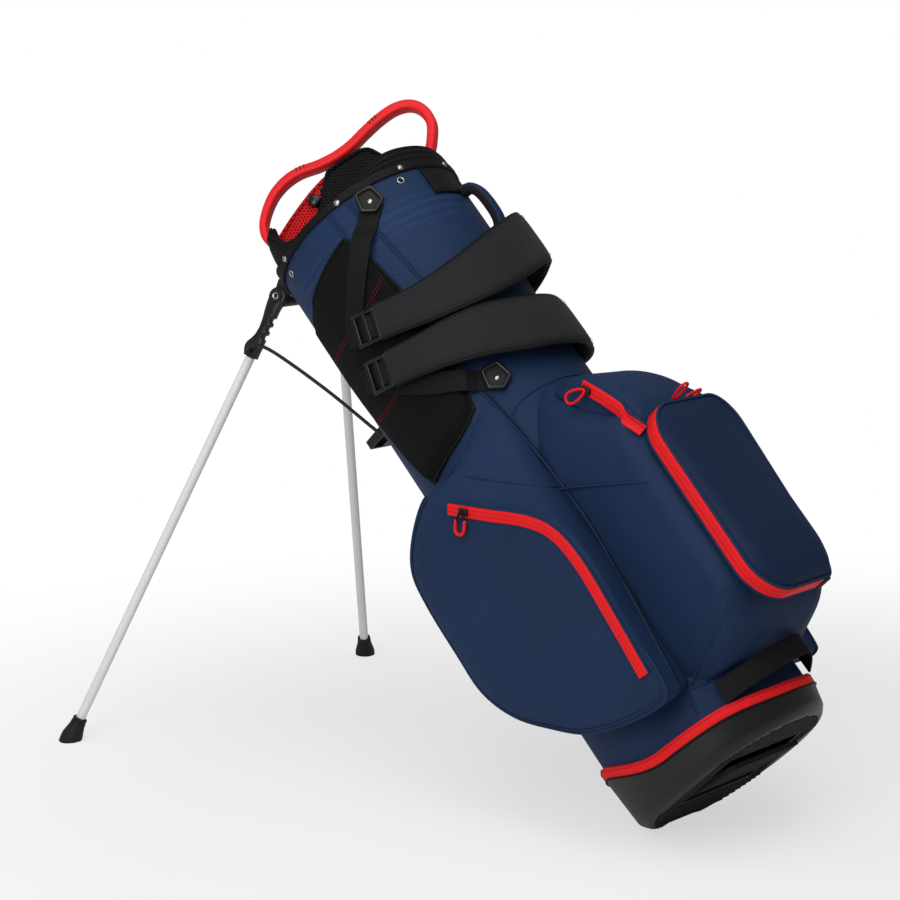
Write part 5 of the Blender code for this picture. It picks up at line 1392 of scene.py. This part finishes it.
def make_sliders():
    """Every zip slider and its pull."""
    down = (-math.sin(LEAN), 0.0, -math.cos(LEAN))
    for side, sign in SIDES.items():
        start, after = Vector(ZIP_ROUTE[0]), Vector(ZIP_ROUTE[1])
        way = (after - start).normalized()
        spot = start + way * 0.026
        make_slider("side_" + side, (spot.x, sign * 0.1723, spot.y), (way.x, 0.0, way.y), (0, sign, 0), down, True)
        make_slider("ball_" + side, (0.2377, sign * 0.013, 0.3653), (0, sign, 0), (0, 0, 1),
                    (1, 0, 0) if sign < 0 else (0, 1, 0), False)
    run = Vector((0.030, 0.0, -0.055)).normalized()
    make_slider("valuables", Vector((0.183, -0.0773, 0.444)) + run * 0.013, run, (0, -1, 0), (-1, 0, 0.25), False)


# Carrying gear

HIP_COLUMNS = ((57, 0.548, 0.690), (60, 0.508, 0.732), (67, 0.498, 0.785), (76, 0.490, 0.780), (92, 0.482, 0.771),
               (107, 0.477, 0.763), (112, 0.519, 0.757), (117, 0.575, 0.750), (121, 0.640, 0.742), (125, 0.690, 0.728))
UPPER_PAD = ((73.2, 0.0235, 0.662), (58, 0.0245, 0.650), (45, 0.0258, 0.644), (30, 0.0285, 0.643), (15, 0.0315, 0.648),
             (0, 0.0345, 0.660), (-15, 0.0365, 0.675), (-30, 0.0370, 0.690), (-45, 0.0345, 0.699), (-68, 0.0230, 0.694),
             (-86, 0.0125, 0.684), (-95, 0.0110, 0.680))
LOWER_PAD = ((81.2, 0.0235, 0.607), (65, 0.0250, 0.594), (50, 0.0255, 0.585), (35, 0.0255, 0.576), (20, 0.0250, 0.566),
             (5, 0.0245, 0.561), (-12, 0.0225, 0.561), (-30, 0.0180, 0.564), (-50, 0.0135, 0.570), (-70, 0.0115, 0.577),
             (-86, 0.0108, 0.585), (-95, 0.0110, 0.588))
UPPER_WEB = ((43, 0.0022, 0.803), (52, 0.0022, 0.782), (56, 0.0077, 0.772), (60, 0.0132, 0.761), (78, 0.0132, 0.712),
             (92, 0.0132, 0.676))
LOWER_WEB = ((40, 0.0022, 0.522), (49, 0.0022, 0.532), (53, 0.0077, 0.537), (57, 0.0132, 0.543), (74, 0.0132, 0.570),
             (96, 0.0132, 0.616))


def cushion_on_trunk(name, columns, inner, outer, materials, node, slot, edge=0.012, levels=12):
    """A padded panel on the trunk, crowned between its bound edges."""
    fine = [Vector(columns[0])]
    for start, end in zip(columns, columns[1:]):
        parts = max(1, math.ceil((abs(end[0] - start[0])) / 2.0))
        fine += [Vector(start).lerp(Vector(end), (part + 1) / parts) for part in range(parts)]
    first, last = fine[0].x, fine[-1].x
    front, back = [], []
    for angle, low, high in fine:
        rows = [low + (high - low) * step / (2 * levels) for step in range(2 * levels + 1)]
        ends = min(abs(angle - first), abs(angle - last)) * math.radians(1.0) * inner
        lifts = []
        for height in rows:
            rim = min(ends, height - low, high - height)
            lifts.append(inner + (outer - inner) * (1.0 - (1.0 - min(rim / edge, 1.0)) ** 2.2))
        front.append([polar(max(lift, inner + 0.0005), angle, height) for lift, height in zip(lifts, rows)])
        back.append([polar(inner, angle, height) for height in rows])
    pad = Piece()
    pad.cushion(front, back)
    item = pad.make(name, finishes(*materials), "bag", (node,), slot, sharp=70.0)
    outline = front[0] + [row[-1] for row in front[1:]] + front[-1][-2::-1] + [row[0] for row in front[-2:0:-1]]
    return item, [point + Vector((point.x, point.y, 0.0)).normalized() * 0.0012 for point in outline]


def pad_profile(width, thickness, count=28):
    """Crowned cross-section of a padded strap."""
    section = []
    for step in range(count):
        turn = math.tau * step / count
        c, s = math.cos(turn), math.sin(turn)
        section.append((width / 2 * math.copysign(abs(c) ** 0.62, c), thickness / 2 * math.copysign(abs(s) ** 0.75, s)))
    return section


def pad_width(share):
    """Width of a shoulder pad along its length."""
    return 0.046 + 0.028 * ease(share, 0.02, 0.40) * (1.0 - ease(share, 0.7, 1.0))


def make_shoulder_pad(name, rows):
    """A padded shoulder strap that swings round the back of the bag."""
    path = even(about_trunk(rows, 10), 0.006)
    ups = radial(path)
    section = pad_profile(1.0, 0.0125)
    sizes = [(pad_width(step / (len(path) - 1)), 1.0) for step in range(len(path))]
    pad = Piece()
    rows = []
    for step, (point, along) in enumerate(zip(path, headings(path))):
        side = along.cross(ups[step])
        swell = 1.0 + 0.10 * ripple(step * 0.33, 2.0)
        rows.append([point + side * (a * sizes[step][0]) + ups[step] * (h * (swell if h > 0 else 1.0)) for a, h in section])
    across = [a * 0.06 for a, h in section] + [section[0][0] * 0.06]
    pad.skin(rows, True, False, 0, (True, True), across,
             lambda row, step: 1 if abs(section[step][0]) > 0.44 or abs(section[(step + 1) % 28][0]) > 0.44 else 0)
    item = pad.make("shoulder_pad_cloth_" + name, finishes("pad_cloth", "pad_edge"), "bag", ("shoulder_pad_" + name,),
                    "black_fabric", sharp=75.0)
    threads, beads = [], []
    for edge in (-1, 1):
        threads.append([point + along.cross(up) * (edge * (size[0] / 2 - 0.0075)) + up * 0.0056
                        for point, along, up, size in list(zip(path, headings(path), ups, sizes))[2:-2]])
        beads.append([point + along.cross(up) * (edge * (size[0] / 2 - 0.001)) + up * 0.0012
                      for point, along, up, size in zip(path, headings(path), ups, sizes)])
    stitches("shoulder_stitches_" + name, threads, "dark_thread", "black_fabric", share=0.7)
    cords("shoulder_binding_" + name, beads, 0.0019, "dark_cord", "black_fabric")


def make_buckle(name, rows):
    """A three-bar ladder buckle where a web meets its pad."""
    path = about_trunk(rows, 6)
    start = path[0]
    facing = radial(path)[0]
    run = path[0] - path[1]
    run = (run - facing * run.dot(facing)).normalized()
    spot = from_frame(run, facing.cross(run), facing, start + run * 0.0173)
    buckle = Piece()
    for x in (-0.014, 0.0, 0.014):
        buckle.block((0.005, 0.038, 0.0054 if x else 0.0044), spot @ Matrix.Translation((x, 0, 0)), 0.0013, steps=3)
    for y in (-0.0188, 0.0188):
        buckle.block((0.033, 0.0046, 0.006), spot @ Matrix.Translation((0, y, 0)), 0.0015, steps=3)
    buckle.make("ladder_buckle_" + name, finishes("gloss_plastic"), "bag", ("buckle_" + name,), "black_plastic")
    threaded = [spot @ Vector((x, 0.0, z)) for x, z in ((-0.030, -0.0012), (-0.014, -0.0036), (-0.007, -0.0008),
                                                        (0.0, 0.0012), (0.007, -0.0008), (0.014, -0.0036),
                                                        (0.022, -0.0046), (0.032, -0.0066))]
    path = spline(threaded, 4)
    strap("buckle_web_" + name, path, [facing] * len(path), 0.0295, 0.0020, "black_web", (), "black_fabric")


def make_anchor(name, angle, height):
    """A five-sided plate that pins a web to the trunk, with a recessed middle and its screw."""
    out = polar(1.0, angle, 0.0)
    up = Vector((0, 0, 1))
    spot = from_frame(up.cross(out), -out, up, polar(TRUNK + 0.0057, angle, height))
    half, tall = 0.017, 0.018
    outline = [(-half, -0.4 * tall), (0.0, -tall), (half, -0.4 * tall), (0.7 * half, tall), (-0.7 * half, tall)]
    plate = Piece()
    plate.plate(outline, -0.0006, 0.0015, spot, 0.0006)
    corners = [Vector((x * 0.88, -0.0010, z * 0.88)) for x, z in outline]
    frame_line = []
    for before, corner, after in zip(corners[-1:] + corners, corners, corners[1:] + corners[:1]):
        frame_line += [corner.lerp(before, 0.12), corner.lerp((before + after) / 2, 0.06), corner.lerp(after, 0.12)]
    plate.tube([spot @ point for point in frame_line], 0.0026, 10, closed=True, slot=1)
    plate.make("anchor_plate_" + name, finishes("rubber", "gloss_plastic"), "bag", ("strap_anchor_" + name,),
               "black_plastic")
    return spot @ Vector((0, -0.0006, -0.001)), out


def make_carry():
    """Hip pad, shoulder straps, their webs, buckles and anchors, and the hub they meet at."""
    item, outline = cushion_on_trunk("hip_pad_mesh", HIP_COLUMNS, 0.1287, 0.1387, ("hip_mesh",), "hip_pad",
                                     "black_fabric")
    cords("hip_pad_binding", [outline], 0.0022, "dark_cord", "black_fabric", closed=True)
    lines = []
    for shift in (0.0, 0.0042):
        lines.append(on_trunk([(61.0, 0.707 + shift), (68.0, 0.698 + shift), (76.0, 0.690 + shift), (95.0, 0.684 + shift),
                               (120.0, 0.682 + shift)], 0.1389, 8))
        lines.append(on_trunk([(60.0, 0.590 + shift), (80.0, 0.586 + shift), (100.0, 0.580 + shift),
                               (114.5, 0.583 + shift)], 0.1389, 8))
    stitches("hip_pad_stitches", lines, "red_thread", "red_fabric", share=0.65)
    make_shoulder_pad("upper", UPPER_PAD)
    make_shoulder_pad("lower", LOWER_PAD)
    places = [make_anchor("upper", 44.0, 0.8055), make_anchor("lower", 41.0, 0.524)]
    fittings("anchor_screws", "Studs", places, {"Radius": 0.0036, "Rise": 0.0016}, "nickel", "black_steel")
    for name, rows in (("upper", UPPER_WEB), ("lower", LOWER_WEB)):
        path = about_trunk(rows, 8)
        strap("web_" + name, path, radial(path), 0.027, 0.0024, "black_web", ("strap_web_" + name,), "black_fabric")
    make_buckle("upper", UPPER_PAD)
    make_buckle("lower", LOWER_PAD)
    item, outline = cushion_on_trunk("hub_pad", ((-95.4, 0.545, 0.725), (-110, 0.560, 0.710), (-117, 0.600, 0.670)),
                                     0.1287, 0.1450, ("pad_cloth",), "strap_hub", "black_fabric")
    cords("hub_binding", [outline], 0.0018, "dark_cord", "black_fabric", closed=True)


def make_grab():
    """The grab handle on the back of the cuff and the bare patch behind it."""
    item, outline = cushion_on_trunk("patch_leather", ((-26, 0.7845, 0.8247), (-10, 0.7842, 0.8247), (6, 0.7845, 0.8247)),
                                     0.1286, 0.1303, ("leatherette",), "cuff_patch", "black_fabric", 0.003, 8)
    cords("patch_piping", [outline], 0.0013, "dark_cord", "black_fabric", closed=True)
    lines = []
    for inset in (0.005, 0.0068):
        lines.append(on_trunk([(-26 + inset * 400, 0.8247 - inset), (-26 + inset * 400, 0.7845 + inset),
                               (6 - inset * 400, 0.7845 + inset), (6 - inset * 400, 0.8247 - inset)], 0.1304, 1))
    stitches("patch_stitches", lines, "dark_thread", "black_fabric", share=0.6)
    start, turn = 0.1311, -20.0
    arch = [(start - 0.003, 0.039), (start + 0.009, 0.041), (start + 0.0165, 0.054), (start + 0.0185, 0.077),
            (start + 0.0165, 0.099), (start + 0.008, 0.1130), (0.1285, 0.116)]
    path = even(spline([polar(radius, turn, 0.825 - drop) for radius, drop in arch], 6), 0.004)
    square = polar(1.0, turn - 90.0, 0.0)
    ways = headings(path)
    ups = [square.cross(way) for way in ways]
    if ups[len(ups) // 2].dot(polar(1.0, turn, 0.0)) < 0:
        ups = [-up for up in ups]
    section = pad_profile(0.0185, 0.0145, 20)
    grip = Piece()
    # The grip's top takes the navy cloth and the rest the dark pad edge: the navy band is a painted highlight along its
    # top.
    grip.sweep(path, ups, section, slots=lambda row, step: 1 if section[step][1] > 0.003 and
               section[(step + 1) % 20][1] > 0.003 else 0)
    item = grip.make("grab_handle_cloth", finishes("pad_edge", "navy_cloth"), "bag", ("grab_handle",), "black_fabric",
                     sharp=75.0)


# Stand

def hinge_frame(sign):
    """Frame of a leg's hinge on the stand head."""
    return (Matrix.Translation((-0.141, sign * 0.056, PIVOT_HEIGHT))
            @ Matrix.Rotation(math.pi - sign * LEG_SPLAY, 4, "Z"))


def make_leg(side):
    """A leg: its moulded knuckle, lacquered tube and rubber foot, and the link that throws it out."""
    sign = SIDES[side]
    hinge = hinge_frame(sign)
    leg = hinge @ Matrix.Rotation(math.pi / 2 - LEG_OPEN, 4, "Y")
    body = "leg_" + side
    outline = [(0.012 * math.cos(math.radians(turn)), 0.012 * math.sin(math.radians(turn)))
               for turn in range(60, 301, 12)]
    outline += [(0.014, -0.0084), (0.026, -0.0084)]
    for x in (0.028, 0.040, 0.052):
        outline += [(x, -0.0084), (x + 0.001, -0.0052), (x + 0.006, -0.0052), (x + 0.007, -0.0084)]
    outline += [(0.070, -0.0085), (0.0865, -0.0085), (0.0869, 0.0080), (0.083, 0.0098), (0.079, 0.0118), (0.074, 0.0126),
                (0.069, 0.0116), (0.063, 0.0080), (0.056, 0.0054), (0.046, 0.0044), (0.034, 0.0056), (0.022, 0.0082),
                (0.014, 0.0096)]
    knuckle = Piece()
    knuckle.plate(outline, -0.0060, 0.0060, leg, 0.0012)
    knuckle.make("knuckle_" + side, finishes("boot_plastic"), body, ("leg_knuckle_" + side,), "black_plastic")
    rivet = Piece()
    turns = [math.tau * step / 24 for step in range(24)]
    rivet.skin([[hinge @ Vector((r * math.cos(t), -sign * y, r * math.sin(t))) for t in turns]
                for r, y in ((0.0046, 0.0082), (0.0046, 0.0093), (0.0040, 0.0098), (0.0029, 0.0094), (0.0026, 0.0084))],
               wrap=True, loop=True)
    rivet.make("knuckle_ring_" + side, finishes("nickel"), body, slot="bright_steel")

    def round_rows(profile, count=28):
        return [[grounded(leg @ Vector((x, r * math.cos(math.tau * t / count), r * math.sin(math.tau * t / count))))
                 for t in range(count)] for x, r in profile]

    tube = Piece()
    tube.skin(round_rows([(0.0873, 0.0058), (0.0880, 0.0062)] + [(0.088 + 0.0543 * step, 0.0062) for step in range(1, 11)]),
              wrap=True, caps=(True, True))
    tube.make("leg_tube_lacquer_" + side, finishes("white_lacquer"), body, ("leg_tube_" + side,), "white_alloy")
    foot = Piece()
    foot.skin(round_rows([(0.6140, 0.0070), (0.6140, 0.0086), (0.6148, 0.0094), (0.6174, 0.0096), (0.6178, 0.0091),
                          (0.6196, 0.0091), (0.6200, 0.0098), (0.6250, 0.0102), (0.6320, 0.0120), (0.6380, 0.0136),
                          (0.6420, 0.0142), (0.6470, 0.0142), (0.6530, 0.0138), (0.6560, 0.0112), (0.6570, 0.0060)]),
              wrap=True, caps=(True, True))
    foot.make("leg_foot_rubber_" + side, finishes("rubber"), body, ("leg_foot_" + side,), "base_rubber")
    rows = [(0.0, 0.0065, 0.0), (0.0, 0.0158, 0.0), (-0.0012, 0.0188, -0.0004), (-0.004, 0.020, -0.001)]
    rows += [(-0.0878 * a, 0.020, -0.2065 * b) for a, b in ((0.148, 0.022), (0.330, 0.140), (0.683, 0.550), (1.0, 1.0))]
    pivot = hinge @ Matrix.Translation((0.06944, 0.0, -0.03553))
    link = Piece()
    link.tube(even(spline([pivot @ Vector((x, -sign * y, z)) for x, y, z in rows], 8), 0.003), 0.0023, 12)
    link.make("link_wire_" + side, finishes("black_steel"), "link_" + side, ("stand_link_" + side,), "black_steel")


def make_stand():
    """Both legs with their links, the lugs of the stand head and the push rod's sleeve with its stitches."""
    for side in SIDES:
        make_leg(side)
    lug = [(-0.141 + 0.0140 * math.cos(math.radians(turn)), PIVOT_HEIGHT + 0.0140 * math.sin(math.radians(turn)))
           for turn in range(75, 286, 15)]
    head = Piece()
    head.plate([(-0.1262, 0.840), (-0.1262, 0.864), *lug], -0.0549, 0.0549, Matrix.Identity(4), 0.0012)
    head.make("stand_head_lugs", finishes("boot_plastic"), "bag", ("stand_head",), "black_plastic")
    sleeve = Piece()
    rows = []
    for height, grow_by in ((0.1125, 0.0), (0.20, 0.0003), (0.30, -0.0002), (0.40, 0.0003), (0.5045, 0.0)):
        rows.append([Vector((-0.1343 - h, a, height)) for a, h in rounded(0.0255 + grow_by, 0.0122, 4)])
    for height in (0.5045, 0.1125):
        rows.append([Vector((-0.1343 - h, a, height)) for a, h in rounded(0.0215, 0.0084, 4)])
    sleeve.skin(rows, wrap=True, loop=True)
    sleeve.make("rod_sleeve_cloth", finishes("navy_cloth"), "bag", ("rod_sleeve",), "navy_fabric")
    threads = [[Vector((-0.1402, y, 0.115 + 0.386 * step / 40)) for step in range(41)] for y in (-0.0095, 0.0095)]
    stitches("sleeve_stitches", threads, "navy_thread", "navy_fabric", share=0.6)


KEPT = {"rod_keeper": "gloss_plastic", "leg_pin_near": "black_steel", "leg_pin_far": "black_steel",
        "stay_rod_near": "black_steel", "stay_rod_far": "black_steel", "push_rod": "black_steel",
        "actuator_plate": "rubber"}


def paint_kept():
    """Give the solids that stay in view their finishes."""
    for node, name in KEPT.items():
        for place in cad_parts[node].material_slots:
            place.material = finish(name)


# Stage

def paint_floor(colour):
    """Pale floor that takes the bag's shadow and fades to white away from it; to the camera it glows white, six tenths
    near the bag and fully further off, painted light that lightens the shadow.
    """
    paint = Paint("stage_floor")
    away = paint.add("ShaderNodeVectorMath", {"operation": "LENGTH"}, [paint.places], out=1)
    seen = paint.add("ShaderNodeLightPath")
    glow = paint.add("ShaderNodeEmission", None, {"Color": (1, 1, 1, 1), "Strength": 1.0})
    matt = paint.finish(paint.blend(paint.noise(3.0), tint(colour, 0.985), colour), 0.9)
    # Painted light: near the bag the camera sees six tenths white emission over the matt floor, which lightens the
    # shadow, and all white emission further away.
    share = seen * (away.within(0.55, 1.5) * 0.4 + 0.6)
    both = paint.add("ShaderNodeMixShader", None, {0: share, 1: paint.shader.outputs[0], 2: glow})
    paint.nodes.links.new(both.socket, paint.nodes.nodes["Material Output"].inputs["Surface"])
    return matt


def soft_lamp(name, place, target, size, power):
    """A large square lamp aimed at a point."""
    data = bpy.data.lights.new(name, "AREA")
    data.shape = "SQUARE"
    data.size = size
    data.energy = power
    lamp = bpy.data.objects.new(name, data)
    bpy.context.scene.collection.objects.link(lamp)
    lamp.location = place
    lamp.rotation_euler = (Vector(target) - Vector(place)).to_track_quat("-Z", "Y").to_euler()


def make_stage(settings):
    """Floor, soft light, white surround and the camera."""
    scene = bpy.context.scene
    floor = Piece()
    floor.skin([[Vector((x, y, 0.0)) for x in (-6.0, -1.5, 1.5, 6.0)] for y in (-6.0, -1.5, 1.5, 6.0)])
    mesh = bpy.data.meshes.new("stage_floor")
    floor.shape.to_mesh(mesh)
    floor.shape.free()
    mesh.materials.append(paint_floor(tuple(settings.floor) + (1.0,)))
    item = bpy.data.objects.new("stage_floor", mesh)
    scene.collection.objects.link(item)
    soft_lamp("lamp_top", (0.35, -0.7, 2.7), (-0.25, 0.0, 0.35), 2.2, settings.top_light)
    soft_lamp("lamp_front", (0.7, -2.8, 1.8), (-0.3, 0.0, 0.4), 1.8, settings.front_light)
    soft_lamp("lamp_left", (-2.6, -1.2, 1.6), (-0.3, 0.0, 0.4), 1.6, settings.front_light * 0.15)
    world = bpy.data.worlds.new("stage_surround")
    world.use_nodes = True
    tree = Tree(world.node_tree)
    ground = tree.nodes.nodes["Background"]
    ground.inputs["Color"].default_value = (1, 1, 1, 1)
    ground.inputs["Strength"].default_value = settings.surround
    rays = tree.add("ShaderNodeLightPath")
    seen = rays.maths("MAXIMUM", Wire(tree, rays.socket.node.outputs["Is Transmission Ray"]))
    white = tree.add("ShaderNodeBackground", None, {"Color": (1, 1, 1, 1), "Strength": 1.0})
    both = tree.add("ShaderNodeMixShader", None, {0: seen, 1: ground.outputs[0], 2: white})
    tree.nodes.links.new(both.socket, tree.nodes.nodes["World Output"].inputs["Surface"])
    scene.world = world
    turn, rise = math.radians(41.45), math.radians(10.6)
    target = Vector((-0.344, 0.0, 0.402))
    away = Vector((math.sin(turn) * math.cos(rise), -math.cos(turn) * math.cos(rise), math.sin(rise)))
    data = bpy.data.cameras.new("stage_camera")
    data.lens = 95.1
    data.sensor_width = 36.0
    camera = bpy.data.objects.new("stage_camera", data)
    scene.collection.objects.link(camera)
    camera.location = target + away * 3.0
    camera.rotation_euler = (-away).to_track_quat("-Z", "Y").to_euler()
    scene.camera = camera
    scene.view_settings.view_transform = "Standard"


# Settings, operators and panel

def colour_setting(name, description, default):
    """A colour that a user may change."""
    return bpy.props.FloatVectorProperty(name=name, description=description, subtype="COLOR", size=3, min=0.0, max=1.0,
                                         default=default)


class StandBagColours(bpy.types.PropertyGroup):
    """Colours of the bag."""
    navy: colour_setting("Navy cloth", "Main cloth of the trunk and pockets", (0.0135, 0.031, 0.082))
    red: colour_setting("Red trim", "Zips, handle, pulls and the band above the boot", (0.85, 0.016, 0.020))
    black: colour_setting("Black trim", "Webbing, mesh, binding and mouldings", (0.0100, 0.0100, 0.0108))
    leg: colour_setting("Leg lacquer", "Lacquer of the stand's legs", (0.80, 0.81, 0.81))


def length_setting(name, description, default):
    """A length that a user may change."""
    return bpy.props.FloatProperty(name=name, description=description, default=default, min=0.0002, unit="LENGTH",
                                   precision=5)


class StandBagSizes(bpy.types.PropertyGroup):
    """Sizes of the bag's trim."""
    stitch_pitch: length_setting("Stitch pitch", "Distance from one stitch to the next", 0.0042)
    thread: length_setting("Thread", "Thickness of the sewing thread", 0.0011)
    piping: length_setting("Piping", "Radius of the piping round the pockets", 0.0019)
    mesh_cell: length_setting("Mesh cell", "Width of one hole of the spacer mesh", 0.0048)


class StandBagStage(bpy.types.PropertyGroup):
    """Levels of the studio."""
    floor: colour_setting("Floor", "Pale floor under the bag", (0.93, 0.93, 0.93))
    top_light: bpy.props.FloatProperty(name="Top light", description="Power of the lamp overhead", default=30.0, min=0.0,
                                       unit="POWER")
    front_light: bpy.props.FloatProperty(name="Front light", description="Power of the lamp at the front", default=40.0,
                                         min=0.0, unit="POWER")
    surround: bpy.props.FloatProperty(name="Surround", description="Strength of the light from all round", default=0.22,
                                      min=0.0)


class DressBase(bpy.types.Operator):
    """Build the boot, its tread, the trim band and the haul strap"""
    bl_idname = "stand_bag.base"
    bl_label = "Base"

    def execute(self, context):
        make_base()
        return {"FINISHED"}


class DressTrunk(bpy.types.Operator):
    """Build the cloth trunk with its seams and piping"""
    bl_idname = "stand_bag.trunk"
    bl_label = "Trunk"

    def execute(self, context):
        make_trunk()
        return {"FINISHED"}


class DressMouth(bpy.types.Operator):
    """Build the bound rim, mesh collar, handle and club dividers"""
    bl_idname = "stand_bag.mouth"
    bl_label = "Mouth"

    def execute(self, context):
        make_mouth()
        return {"FINISHED"}


class DressSidePockets(bpy.types.Operator):
    """Build the two leaf-shaped side pockets"""
    bl_idname = "stand_bag.side_pockets"
    bl_label = "Side pockets"

    def execute(self, context):
        for side in SIDES:
            make_side_pocket(side)
        return {"FINISHED"}


class DressBackPockets(bpy.types.Operator):
    """Build the back, ball and valuables pockets"""
    bl_idname = "stand_bag.back_pockets"
    bl_label = "Back pockets"

    def execute(self, context):
        make_block_pocket()
        make_ball_pocket()
        make_valuables_pocket()
        return {"FINISHED"}


class DressSliders(bpy.types.Operator):
    """Build the zip sliders and their pulls"""
    bl_idname = "stand_bag.sliders"
    bl_label = "Zip sliders"

    def execute(self, context):
        make_sliders()
        return {"FINISHED"}


class DressCarry(bpy.types.Operator):
    """Build the hip pad, shoulder straps, buckles and anchors"""
    bl_idname = "stand_bag.carry"
    bl_label = "Carrying gear"

    def execute(self, context):
        make_carry()
        return {"FINISHED"}


class DressGrab(bpy.types.Operator):
    """Build the grab handle and the patch under it"""
    bl_idname = "stand_bag.grab"
    bl_label = "Grab handle"

    def execute(self, context):
        make_grab()
        return {"FINISHED"}


class DressStand(bpy.types.Operator):
    """Build the legs, links and rod sleeve, and finish the fixed fittings"""
    bl_idname = "stand_bag.stand"
    bl_label = "Stand"

    def execute(self, context):
        make_stand()
        paint_kept()
        return {"FINISHED"}


class DressStage(bpy.types.Operator):
    """Build the floor, lamps and camera"""
    bl_idname = "stand_bag.stage"
    bl_label = "Stage"

    def execute(self, context):
        make_stage(context.scene.stand_bag_stage)
        return {"FINISHED"}


OPERATORS = (DressStage, DressBase, DressTrunk, DressMouth, DressSidePockets, DressBackPockets, DressSliders,
             DressCarry, DressGrab, DressStand)


class StandBagPanel(bpy.types.Panel):
    """Settings and steps of the stand bag"""
    bl_idname = "VIEW3D_PT_stand_bag"
    bl_label = "Stand bag"
    bl_space_type = "VIEW_3D"
    bl_region_type = "UI"
    bl_category = "Stand bag"

    def draw(self, context):
        layout = self.layout
        for group in (context.scene.stand_bag_colours, context.scene.stand_bag_sizes, context.scene.stand_bag_stage):
            for name in group.__annotations__:
                layout.prop(group, name)
        for step in OPERATORS:
            layout.operator(step.bl_idname)


CLASSES = (StandBagColours, StandBagSizes, StandBagStage, *OPERATORS, StandBagPanel)


def register():
    """Add the classes and settings."""
    for item in CLASSES:
        bpy.utils.register_class(item)
    bpy.types.Scene.stand_bag_colours = bpy.props.PointerProperty(type=StandBagColours)
    bpy.types.Scene.stand_bag_sizes = bpy.props.PointerProperty(type=StandBagSizes)
    bpy.types.Scene.stand_bag_stage = bpy.props.PointerProperty(type=StandBagStage)


def unregister():
    """Take the classes and settings away."""
    del bpy.types.Scene.stand_bag_stage
    del bpy.types.Scene.stand_bag_sizes
    del bpy.types.Scene.stand_bag_colours
    for item in reversed(CLASSES):
        bpy.utils.unregister_class(item)


def main():
    """Register the steps and run them in order."""
    register()
    for step in OPERATORS:
        family, name = step.bl_idname.split(".")
        getattr(getattr(bpy.ops, family), name)()
    bpy.context.view_layer.update()


if __name__ == "__main__":
    main()
